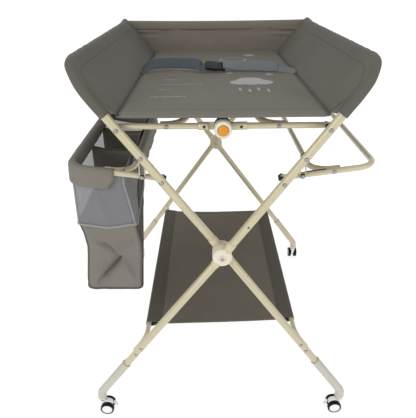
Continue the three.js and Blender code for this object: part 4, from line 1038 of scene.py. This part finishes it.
left = Form()
strap(left, [(-0.2118, 0, 0.8680, 15), (-0.203, 0, 0.8790, 40), (-0.180, 0.002, 0.8900, 58),
             (-0.150, 0.004, 0.8930, 64),
             (-0.105, 0.003, 0.8930, 66), (-0.074, 0, 0.8920, 66), (-0.058, -0.006, 0.8905, 62),
             (-0.052, -0.008, 0.8860, 48), (-0.046, -0.004, 0.8830, 38), (-0.030, 0, 0.8835, 30)], 0.0019)
band = left.make("strap_left_web", webbing, sharp=60, stands_for=["strap_left"], slot="webbing")
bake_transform(band)
right_web = Form()
strap(right_web, [(0.012, 0, 0.8860, 20), (0.026, 0.001, 0.8850, 34), (0.050, 0.004, 0.8835, 52),
                  (0.085, 0.006, 0.8825, 58), (0.125, 0.004, 0.8815, 58), (0.158, 0.002, 0.8795, 50),
                  (0.180, 0, 0.8755, 32), (0.2118, 0, 0.8690, 14)], 0.0019)
strap(right_web, [(0.018, 0, 0.8882, 24), (0.050, 0.0025, 0.8850, 52), (0.085, 0.0042, 0.8840, 58),
                  (0.125, 0.0022, 0.8830, 58), (0.1605, -0.0002, 0.8812, 50)], 0.0018)
band = right_web.make("strap_right_web", pale_webbing, sharp=60, stands_for=["strap_right"], slot="webbing")
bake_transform(band)

tilt = Matrix.Rotation(math.radians(24), 3, "X") @ Matrix.Rotation(math.radians(6), 3, "Y")
catch = Form()
heart = Vector((-0.017, STRAP_Y, 0.8850))


def buckle_block(form, low, high, edge=0.0011):
    """A block with round corners and eased edges, in the buckle's own tilted frame."""
    x0, y0, z0 = low
    x1, y1, z1 = high
    rows = []
    for inset, z in ((edge, z0), (0, z0 + edge), (0, z1 - edge), (edge * 0.6, z1 - edge * 0.25),
                     (edge * 1.8, z1)):
        ring = []
        r = edge * 2.2
        for cx, cy, start in ((x1, y1, 0), (x0, y1, 90), (x0, y0, 180), (x1, y0, 270)):
            cx -= math.copysign(r + inset, cx - (x0 + x1) / 2)
            cy -= math.copysign(r + inset, cy - (y0 + y1) / 2)
            ring += [(cx + r * math.cos(a), cy + r * math.sin(a), z)
                     for a in (math.radians(start + 30 * step) for step in range(4))]
        rows.append([heart + tilt @ Vector(p) for p in ring])
    base = form.grid(rows, close_columns=True)
    form.fan(base, 16, flip=True)
    form.fan(base + 64, 16)


buckle_block(catch, (-0.0165, -0.0175, -0.0044), (0.0150, 0.0175, -0.0008))
buckle_block(catch, (-0.0165, -0.0175, 0.0010), (0.0150, 0.0175, 0.0046))
for way in (-1, 1):
    y0, y1 = sorted((way * 0.0100, way * 0.0174))
    buckle_block(catch, (-0.0165, y0, -0.0030), (-0.0075, y1, 0.0032))
    buckle_block(catch, (0.0090, y0, -0.0030), (0.0150, y1, 0.0032))
buckle_block(catch, (-0.0200, -0.0170, -0.0018), (-0.0155, 0.0170, 0.0022), 0.0008)
catch.make("buckle_catch", buckle_black, sharp=50, body="crossbar_hinge", stands_for=["buckle_socket"],
           slot="dark_plastic")
tongue = Form()
buckle_block(tongue, (0.0155, -0.0160, -0.0036), (0.0230, 0.0160, 0.0038))
buckle_block(tongue, (0.0240, -0.0165, -0.0028), (0.0300, 0.0165, -0.0006), 0.0008)
buckle_block(tongue, (0.0310, -0.0165, -0.0022), (0.0345, 0.0165, 0.0022), 0.0009)
for way in (-1, 1):
    y0, y1 = sorted((way * 0.0136, way * 0.0165))
    buckle_block(tongue, (0.0220, y0, -0.0026), (0.0330, y1, 0.0022), 0.0007)
    y0, y1 = sorted((way * 0.0112, way * 0.0158))
    buckle_block(tongue, (-0.0060, y0, -0.0018), (0.0160, y1, 0.0022), 0.0007)
tongue.make("buckle_prongs", buckle_black, sharp=50, body="buckle_tongue", stands_for=["buckle_tongue"],
            slot="dark_plastic")

# ---- Shelf ----
# A thin tube runs front to rear on each side, bent down at both ends to lie along the lower legs. A sheet of
# the same cloth is stretched between them, with a sleeve sewn along each side.

SHELF_Z = 0.264
SHELF_HALF = 0.326
INNER_HALF = 0.158  # half the width of the cloth between the two sleeves


def with_shelf(piece):
    """Bakes a shelf piece's placement into its mesh."""
    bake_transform(piece)


def shelf_sag(x):
    """Height of the cloth between the sleeves."""
    return SHELF_Z + 0.0023 - 0.0028 * (1 - (x / INNER_HALF) ** 2)


def front_slant(x):
    """How much shorter the front edge is cut towards the right."""
    return 1 - 0.045 * (x + 0.2) / 0.4


SHELF_X = (PIVOT_Z - SHELF_Z) / RISE * RUN
shelf_cloth = woven("shelf_cloth", (0.155, 0.139, 0.108), mottle=0.16)
doubled_cloth = woven("shelf_cloth_doubled", (0.100, 0.090, 0.072), mottle=0.12)
for side_name, side, body_name in (("left", 1, "outer_frame"), ("right", -1, "inner_frame")):
    tip = lower_leg(side, 0.392, 1)
    lap = min(tip.y, lower_leg(side, (PIVOT_Z - SHELF_Z) / RISE, 1).y) - TUBE - THIN_TUBE - 0.0006
    x = -side * SHELF_X
    corners = [Vector(p) for p in (
        (tip.x, -lap, tip.z), (x, -lap, SHELF_Z), (x, lap, SHELF_Z), (tip.x, lap, tip.z))]
    Form().sweep(bent(corners, [0, 0.025, 0.025, 0], step=6), THIN_TUBE, sides=24, soft_end=0.001).make(
        f"shelf_tube_{side_name}_bent", champagne, body=body_name, stands_for=[f"shelf_tube_{side_name}"],
        slot="tube")
sheet = Form()
ys = [-SHELF_HALF + 2 * SHELF_HALF * k / 64 for k in range(65)]
# the left half's section: under the tube, round it, along the doubled cloth, and in to the middle
profile = [(-0.163 - 0.0075 * k, SHELF_Z - 0.0010 - 0.0022 * k) for k in range(4)]
for a in (math.radians(-95 - 175 * k / 12) for k in range(13)):
    profile.append((-SHELF_X + 0.0076 * math.cos(a), SHELF_Z + 0.0076 * math.sin(a)))
profile += [(x, SHELF_Z + rise) for x, rise in (
    (-0.186, 0.0070), (-0.177, 0.0058), (-0.168, 0.0047), (-0.1625, 0.0042), (-0.1605, 0.0026))]
profile += [(x, shelf_sag(x)) for x in (INNER_HALF * (k / 18 - 1) for k in range(19))]
full = profile + [(-x, z) for x, z in reversed(profile[:-1])]
last = len(full) - 1
rows = []
for y in ys:
    row = []
    for px, pz in full:
        inner_part = ease((0.165 - abs(px)) / 0.03)
        ripple = (0.0012 * waver(px, y, 0, 0.09, 5.0) + 0.0005 * waver(px, y, 0, 0.03, 1.5)) * inner_part
        droop = -0.0022 * inner_part * ease((abs(y) - 0.22) / 0.11)
        pucker = 0.0005 * math.sin(y * 210) * (1 if 0.158 < abs(px) < 0.17 else 0)
        pull = 0.006 * (1 - (px / 0.2) ** 2) * (1 if abs(px) < 0.19 else 0)
        y_here = y * (1 - pull * (abs(y) / SHELF_HALF) ** 4)
        y_here *= front_slant(px) if y < 0 else 1
        row.append((px, y_here, pz + ripple + droop + pucker))
    rows.append(row)
lengths = [0.0]
for n in range(1, len(full)):
    lengths.append(lengths[-1] + math.hypot(full[n][0] - full[n - 1][0], full[n][1] - full[n - 1][1]))
edge_at = 21
for first, final, slot in ((0, edge_at, 1), (edge_at, last - edge_at, 0), (last - edge_at, last, 1)):
    sheet.grid([row[first:final + 1] for row in rows], uv=lambda i, j: (lengths[first + j], ys[i]),
               slot=slot)
shelf = sheet.make("shelf_sheet", shelf_cloth, doubled_cloth, sharp=80, stands_for=["shelf_cloth"],
                   slot="cloth")
give_thickness(shelf, 0.0010, seamed=True)
with_shelf(shelf)
sewn = Form()
for column in (19, last - 19):
    stitches(sewn, [Vector(row[column]) + Vector((0, 0, 0.0007)) for row in rows[1:-1]], pitch=0.005)
sewn = sewn.make("shelf_stitches", thread, sharp=80, slot="cloth")
with_shelf(sewn)
for end_name, end in ENDS:
    hem = Form()
    rows = []
    for k in range(61):
        px = INNER_HALF * (k / 30 - 1)
        reach = SHELF_HALF * (1 - 0.006 * (1 - (px / 0.2) ** 2)) * (front_slant(px) if end < 0 else 1)
        lift = 0.0012 * waver(px, end * SHELF_HALF, 0, 0.09, 5.0) * ease((0.165 - abs(px)) / 0.03)
        z = shelf_sag(px) - 0.0022 + lift
        section = ((-0.0006, -0.0012), (-0.0009, 0.0006), (0.0010, 0.0014), (0.0130, 0.0013),
                   (0.0142, 0.0007))
        rows.append([(px, end * (reach - inset), z + rise) for inset, rise in section])
    hem.grid(rows, uv=lambda i, j: (0.316 * i / 60, 0.004 * j), flip=end > 0)
    strip = hem.make(f"shelf_hem_{end_name}", shelf_cloth, sharp=80, slot="cloth")
    with_shelf(strip)

# ---- Basket ----
# A cloth bag hangs in the left rail. Above a pale welt it is mostly grey net, and below it taupe cloth with
# bound seams. Two dividers make three compartments, and a wide hem is folded over the rail and cross tube.

net = woven("basket_net", (0.31, 0.31, 0.33), rough=0.7, thread=0.0019, relief=0.8, mottle=0.05, sheen=0.05,
            alpha=0.5, crease=0.6)
bag_cloth = woven("basket_cloth", (0.195, 0.180, 0.155), mottle=0.14, crease=0.8)
# the bag cloth much darker, painted shade on the bag's inner side
shaded_inner_cloth = woven("basket_inner_shade", (0.050, 0.045, 0.037), mottle=0.14, crease=0.8)
tape = woven("basket_binding", (0.11, 0.10, 0.085), rough=0.6, thread=0.0014)
pale_tape = woven("basket_welt", (0.30, 0.295, 0.29), rough=0.6, thread=0.0014)
BAG_TOP, BAG_BAND, BAG_BOTTOM = 0.7330, 0.5960, 0.4125
BAG_REAR = 0.102
NET_STEPS = 22  # the net part of the inner side is that many steps wide
SPANS = (("front", 48), ("inner", 60), ("rear", 26), ("outer", 64))
CORNER_STEPS = 6
INNER_START = SPANS[0][1] + CORNER_STEPS // 2  # the first point that belongs to the inner side
# (height, place) down each of the bag's upright lines
OUTER_X = ((0.74, -0.3365), (0.60, -0.3385), (0.57, -0.3310), (0.53, -0.3275), (0.47, -0.3345),
           (0.43, -0.3390),
           (0.40, -0.3370))
FRONT_INNER_X = ((0.74, -0.2140), (0.70, -0.2160), (0.65, -0.2060), (0.60, -0.1975), (0.57, -0.1935),
                 (0.54, -0.1890), (0.50, -0.1900), (0.45, -0.1945), (0.40, -0.1980))
REAR_INNER_X = ((0.74, -0.2050), (0.70, -0.2065), (0.65, -0.2150), (0.60, -0.2280), (0.50, -0.2450),
                (0.40, -0.2560))
FRONT_Y = ((0.74, -0.3620), (0.60, -0.3650), (0.57, -0.3610), (0.50, -0.3560), (0.44, -0.3610),
           (0.40, -0.3620))


def along_heights(z, table):
    """Straight interpolation in a table of (height, value), from the top down."""
    for (z1, v1), (z0, v0) in zip(table, table[1:]):
        if z >= z0:
            return v0 + (v1 - v0) * (z - z0) / (z1 - z0)
    return table[-1][1]


def bag_corners(z):
    return [along_heights(z, table) for table in (OUTER_X, FRONT_INNER_X, REAR_INNER_X, FRONT_Y)]


def bag_ring(z):
    """(x, y, side of the bag, share along that side) round the bag at a height."""
    outer, front_inner, rear_inner, front = bag_corners(z)
    corners = [((outer, front), 0.028), ((front_inner, front), 0.016), ((rear_inner, BAG_REAR), 0.012),
               ((outer, BAG_REAR), 0.012)]
    ring = []
    for i, (name, steps) in enumerate(SPANS):
        (ax, ay), ar = corners[i]
        (bx, by), br = corners[(i + 1) % 4]
        (cx, cy), _ = corners[(i + 2) % 4]
        d = Vector((bx - ax, by - ay))
        length = d.length
        d.normalize()
        e = Vector((cx - bx, cy - by)).normalized()
        for k in range(steps):
            share = k / steps
            if name == "inner":
                net_end = 0.15 + 0.45 * max(0.0, z - BAG_BAND) / (BAG_TOP - BAG_BAND)
                if k <= NET_STEPS:
                    share = net_end * k / NET_STEPS
                else:
                    share = net_end + (1 - net_end) * (k - NET_STEPS) / (steps - NET_STEPS)
            s = ar + (length - ar - br) * share
            ring.append((ax + d.x * s, ay + d.y * s, name, share))
        corner = Vector((bx, by))
        for k in range(CORNER_STEPS):
            t = k / CORNER_STEPS
            p = (corner - d * br) * (1 - t) ** 2 + corner * 2 * t * (1 - t) + (corner + e * br) * t * t
            if k < CORNER_STEPS // 2:
                ring.append((p.x, p.y, name, 1.0))
            else:
                ring.append((p.x, p.y, SPANS[(i + 1) % 4][0], 0.0))
    return ring


def fold_line(a, b, x, z, width):
    """How near (x, z) is to the crease from a to b, from 0 to 1."""
    ax, az = a
    bx, bz = b
    length = math.hypot(bx - ax, bz - az)
    t = min(1, max(0, ((x - ax) * (bx - ax) + (z - az) * (bz - az)) / length ** 2))
    gap = math.hypot(x - ax - (bx - ax) * t, z - az - (bz - az) * t)
    return math.exp(-gap / width)


# (depth, from, to, width) of the creases in the front, whose bottom is pushed in between them
FRONT_CREASES = (
    (0.0150, (-0.322, 0.562), (-0.250, 0.520), 0.0075), (-0.0110, (-0.250, 0.532), (-0.215, 0.552), 0.008),
    (0.0190, (-0.243, 0.505), (-0.308, 0.428), 0.0075), (-0.0150, (-0.250, 0.520), (-0.318, 0.446), 0.0075),
    (-0.0130, (-0.240, 0.505), (-0.206, 0.425), 0.008), (0.0040, (-0.322, 0.610), (-0.285, 0.700), 0.009),
    (-0.0045, (-0.262, 0.610), (-0.285, 0.700), 0.009))


def bag_point(x, y, z, side_of, share):
    """The cloth's own creases and slack, added to the plain shape."""
    low = ease((BAG_BAND - z) / 0.02)
    mid = math.sin(math.pi * share)
    if z < BAG_BAND:
        body = math.sin(math.pi * ease((BAG_BAND - z) / (BAG_BAND - BAG_BOTTOM)))
    else:
        body = math.sin(math.pi * (z - BAG_BAND) / (BAG_TOP - BAG_BAND))
    slack = 0.0022 * waver(x, y, z, 0.05, 2.0) + 0.0010 * waver(x, y, z, 0.02, 6.0)
    if side_of == "front":
        crease = sum(depth * fold_line(a, b, x, z, width) for depth, a, b, width in FRONT_CREASES)
        z += (0.0030 - 0.0060 * mid) * math.exp(-((z - BAG_BAND) / 0.025) ** 2)
        y += crease * min(1.0, 1.6 * mid) + slack * mid - 0.0040 * body * mid
    elif side_of == "rear":
        y += slack * mid + 0.0050 * body * mid
    elif side_of == "outer":
        x += (-0.0030 * body + slack) * mid + 0.0030 * math.sin(share * 31) * low * body * mid
    else:
        x += (-0.0035 * body + 1.3 * slack + 0.0030 * math.sin(share * 24 + z * 40)) * mid * body
    return (x, y, z)


bag = Form()
BAND_LEVEL = 18
levels = [BAG_TOP - (BAG_TOP - BAG_BAND) * k / BAND_LEVEL for k in range(BAND_LEVEL + 1)]
levels += [BAG_BAND - (BAG_BAND - BAG_BOTTOM) * k / 52 for k in range(1, 53)]
rings = [[bag_point(x, y, z, name, share) for x, y, name, share in bag_ring(z)] for z in levels]
names = [p[2] for p in bag_ring(BAG_TOP)]
around = len(rings[0])
girth = [0.0]
for k in range(1, around + 1):
    a, b = Vector(rings[0][k - 1]), Vector(rings[0][k % around])
    girth.append(girth[-1] + (b - a).length)
for j in range(around):
    nxt = (j + 1) % around
    for i in range(len(levels) - 1):
        netted = i < BAND_LEVEL and (names[j] != "inner" or j < INNER_START + NET_STEPS)
        base = len(bag.verts)
        around_face = ((i, j), (i, nxt), (i + 1, nxt), (i + 1, j))
        bag.verts += [Vector(rings[level][column]) for level, column in around_face]
        bag.faces.append([base + 3, base + 2, base + 1, base])
        high, low = levels[i], levels[i + 1]
        bag.uvs.append([(girth[j], low), (girth[j + 1], low), (girth[j + 1], high), (girth[j], high)])
        # the cloth of the inner side takes the third, darker material as painted shade
        bag.slots.append(1 if netted else 2 if names[j] == "inner" else 0)
middle = (-0.272, -0.130)
floor_rows = []
for n, share in enumerate((1.0, 0.97, 0.9, 0.75, 0.5, 0.25, 0.02)):
    height = BAG_BOTTOM - 0.0040 * ease((1 - share) / 0.35)
    row = []
    for x, y, _ in rings[-1]:
        unevenness = 0.0012 * waver(x * share, y * share, 0, 0.05) if n else 0
        row.append((middle[0] + (x - middle[0]) * share, middle[1] + (y - middle[1]) * share,
                    height + unevenness))
    floor_rows.append(row)
bag.grid(floor_rows, close_columns=True, uv=lambda i, j: floor_rows[i][j % around][:2], flip=True)
basket = bag.make("basket_bag", bag_cloth, net, shaded_inner_cloth, sharp=80, body="rail_left",
                  stands_for=["basket"], slot="cloth")
give_thickness(basket, 0.0010, offset=-1.0, seamed=True)

# dividers between the three compartments, sewn to the walls a little below the rim
for n, (divider_y, top) in enumerate(((-0.155, 0.7150), (-0.017, 0.7210))):
    wall = Form()
    rows = []
    for i in range(25):
        z = top - (top - BAG_BOTTOM - 0.002) * i / 24
        outer, front_inner, rear_inner, front = bag_corners(z)
        share = (divider_y - front) / (BAG_REAR - front)
        inner = front_inner + (rear_inner - front_inner) * share
        row = []
        for j in range(17):
            t = j / 16
            x = outer + 0.0035 + (inner - 0.0055 - outer) * t
            sag = (-0.006 * math.sin(math.pi * t) - 0.012 * t) * ease((z - 0.60) / 0.10)
            bow = 0.006 * math.sin(math.pi * t) * math.sin(math.pi * i / 24)
            bow += 0.0015 * waver(x, divider_y, z, 0.04, n)
            row.append((x, divider_y + bow, z + sag))
        rows.append(row)
    wall.grid(rows, uv=lambda i, j: (0.12 * j / 16, 0.29 * i / 24))
    divider = wall.make(f"basket_divider_{n + 1}", bag_cloth, sharp=80, body="rail_left", slot="cloth")
    give_thickness(divider, 0.0012)
    lip = Form().sweep([(p[0], p[1], p[2] + 0.0008) for p in rows[0]], 0.0018, sides=10)
    lip.make(f"divider_binding_{n + 1}", tape, body="rail_left", slot="cloth")

# bindings along the bag's upright seams, round the band and round the bottom
binding = Form()
REAR_START = INNER_START + SPANS[1][1] + CORNER_STEPS
OUTER_START = REAR_START + SPANS[2][1] + CORNER_STEPS
for j, out_x, out_y in ((around - CORNER_STEPS // 2, -1, -1), (INNER_START, 1, -1), (REAR_START, 1, 1),
                        (OUTER_START, -1, 1)):
    off = Vector((out_x * 0.0006, out_y * 0.0006, 0))
    for first, final, slot, radius in ((1, BAND_LEVEL + 1, 1, 0.0021), (BAND_LEVEL, len(levels), 0, 0.0016)):
        binding.sweep([Vector(rings[i][j]) + off for i in range(first, final)], radius, sides=10, slot=slot)
net_edge = INNER_START + NET_STEPS + CORNER_STEPS // 2
binding.sweep([Vector(rings[i][net_edge]) + Vector((0.0008, 0, 0)) for i in range(1, BAND_LEVEL + 1)],
              0.0014, sides=10)
for level, outwards, rise, radius, slot in ((BAND_LEVEL, 0.0012, 0, 0.0026, 1),
                                            (-1, 0.0008, 0.0010, 0.0022, 0)):
    line = []
    for p in (Vector(p) for p in rings[level]):
        line.append(p + (p - Vector((*middle, p.z))).normalized() * outwards + Vector((0, 0, rise)))
    binding.sweep(line, radius, sides=10, closed=True, slot=slot)
binding.make("basket_bindings", tape, pale_tape, body="rail_left", slot="cloth")


def hem_over(line, inside_drop, outside_drop, slant, name, way, thick=0.0088):
    """Cloth folded over a tube: up inside, round it and down outside. slant leans the first end back."""
    count = len(line)
    lengths = [0.0]
    for k in range(1, count):
        lengths.append(lengths[-1] + (line[k] - line[k - 1]).length)
    rows = []
    for k, point in enumerate(line):
        ahead = (line[min(k + 1, count - 1)] - line[max(k - 1, 0)]).normalized()
        out = Vector((ahead.y, -ahead.x, 0)).normalized() * way
        r = thick + 0.0007 * waver(point.x, point.y, 0, 0.03, 3.0)
        profile = [(-r * 0.75, -inside_drop), (-r * 0.9, -inside_drop * 0.6), (-r, -0.006)]
        round_tube = [math.radians(180 - 22.5 * n) for n in range(9)]
        profile += [(r * math.cos(a), r * math.sin(a)) for a in round_tube]
        profile += [(r + 0.0006 + 0.0016 * n / 9, -outside_drop * n / 9) for n in range(1, 10)]
        row = []
        for off, rise in profile:
            low = ease((-rise - 0.008) / 0.03)
            flutter = 0.0022 * waver(point.x, point.y, rise * 0.4, 0.035, 5.0) * low if off > 0 else 0
            edge_wave = 0.0022 * waver(point.x, point.y, 0, 0.06, 2.0) * low
            shift = ahead * slant * low * max(0.0, 1 - lengths[k] / 0.035)
            row.append(point + shift + out * (off + flutter) + Vector((0, 0, rise + edge_wave)))
        rows.append(row)
    form = Form()
    form.grid(rows, uv=lambda i, j: (lengths[i], 0.005 * j), flip=way < 0)
    piece = form.make(name, bag_cloth, sharp=80, body="rail_left", slot="cloth")
    give_thickness(piece, 0.0013)


corners = [rail_point(-1, out, y) for out, y in (
    (0.106, -INNER_Y), (RAIL_OUT, -INNER_Y), (RAIL_OUT, BAG_REAR + 0.004))]
outer_line = bent(corners, [0, 0.038, 0], step=7)
dense = []
for a, b in zip(outer_line, outer_line[1:]):
    steps = max(1, round((b - a).length / 0.008))
    dense += [a.lerp(b, k / steps) for k in range(steps)]
dense.append(outer_line[-1])
hem_over(dense, 0.024, 0.037, 0.016, "basket_hem_outer", way=-1)
inner_line = [rail_point(-1, CROSS_TUBE_OUT, -0.296 + (BAG_REAR + 0.300) * k / 50) for k in range(51)]
hem_over(inner_line, 0.022, 0.036, 0.0, "basket_hem_inner", way=1)
rear_top = Form()
rows = []
for k in range(21):
    t = k / 20
    x = -0.3330 + (0.3330 - 0.2010) * t
    z = 0.7405 - 0.017 * t - 0.004 * math.sin(math.pi * t)
    y = BAG_REAR + 0.0012 + 0.001 * waver(x, 0, 0, 0.04, 7.0)
    section = ((-0.003, 0.030), (-0.003, 0.004), (-0.0015, 0.001), (0, 0), (0.002, 0.001), (0.0034, 0.005),
               (0.0036, 0.032))
    rows.append([(x, y + back, z - drop) for back, drop in section])
rear_top.grid(rows, uv=lambda i, j: (0.13 * i / 20, 0.008 * j), flip=True)
rear_hem = rear_top.make("basket_hem_rear", bag_cloth, sharp=80, body="rail_left", slot="cloth")

# ---- Floor, light and camera ----
# A plain pale sweep under soft studio lights.

floor = Form()
reach = [(-3.0, 0.0), (1.4, 0.0), (1.9, 0.06), (2.25, 0.35), (2.4, 0.9), (2.4, 3.2)]
floor.grid([[(x, y, z) for x in (-3.5, 3.5)] for y, z in reach], flip=True)
paper = hard_finish("studio_paper", (0.35, 0.35, 0.35), 0.85, mottle=0.0, bump=0.0, worn=0.0)
paper_shader = paper.node_tree.nodes["Principled BSDF"]
paper_shader.inputs["Emission Color"].default_value = (1, 1, 1, 1)
paper_shader.inputs["Emission Strength"].default_value = 0.80
sweep = floor.make("studio_floor", paper, sharp=60)

world = bpy.data.worlds.new("studio")
world.use_nodes = True
world.node_tree.nodes["Background"].inputs["Color"].default_value = (1, 1, 1, 1)
world.node_tree.nodes["Background"].inputs["Strength"].default_value = 0.50
bpy.context.scene.world = world


def soft_light(name, place, target, size, power):
    light = bpy.data.lights.new(name, "AREA")
    light.shape = "RECTANGLE"
    light.size, light.size_y = size
    light.energy = power
    lamp = bpy.data.objects.new(name, light)
    lamp.location = place
    lamp.rotation_euler = (Vector(target) - Vector(place)).to_track_quat("-Z", "Y").to_euler()
    bpy.context.scene.collection.objects.link(lamp)


soft_light("overhead", (-0.4, -0.5, 2.8), (0, 0, 0.5), (2.2, 2.2), 12)
soft_light("front_left", (-1.8, -2.2, 1.6), (0, 0, 0.5), (1.5, 1.8), 30)
soft_light("front_right", (2.0, -2.0, 1.3), (0, 0, 0.5), (1.4, 1.6), 20)

PITCH, YAW, ROLL = math.radians(27.83), math.radians(-0.07), math.radians(-0.46)
ahead = Vector((math.sin(YAW) * math.cos(PITCH), math.cos(YAW) * math.cos(PITCH), -math.sin(PITCH)))
level = Vector((math.cos(YAW), -math.sin(YAW), 0))
above = level.cross(ahead)
right = level * math.cos(ROLL) + above * math.sin(ROLL)
up = above * math.cos(ROLL) - level * math.sin(ROLL)
camera = bpy.data.cameras.new("camera")
camera.lens = 39.05
camera.sensor_width = 36
viewer = bpy.data.objects.new("camera", camera)
viewer.matrix_world = Matrix((
    (right.x, up.x, -ahead.x, -0.0308),
    (right.y, up.y, -ahead.y, -1.276),
    (right.z, up.z, -ahead.z, 1.119),
    (0, 0, 0, 1),
))
bpy.context.scene.collection.objects.link(viewer)
bpy.context.scene.camera = viewer
bpy.context.scene.view_settings.view_transform = "Standard"
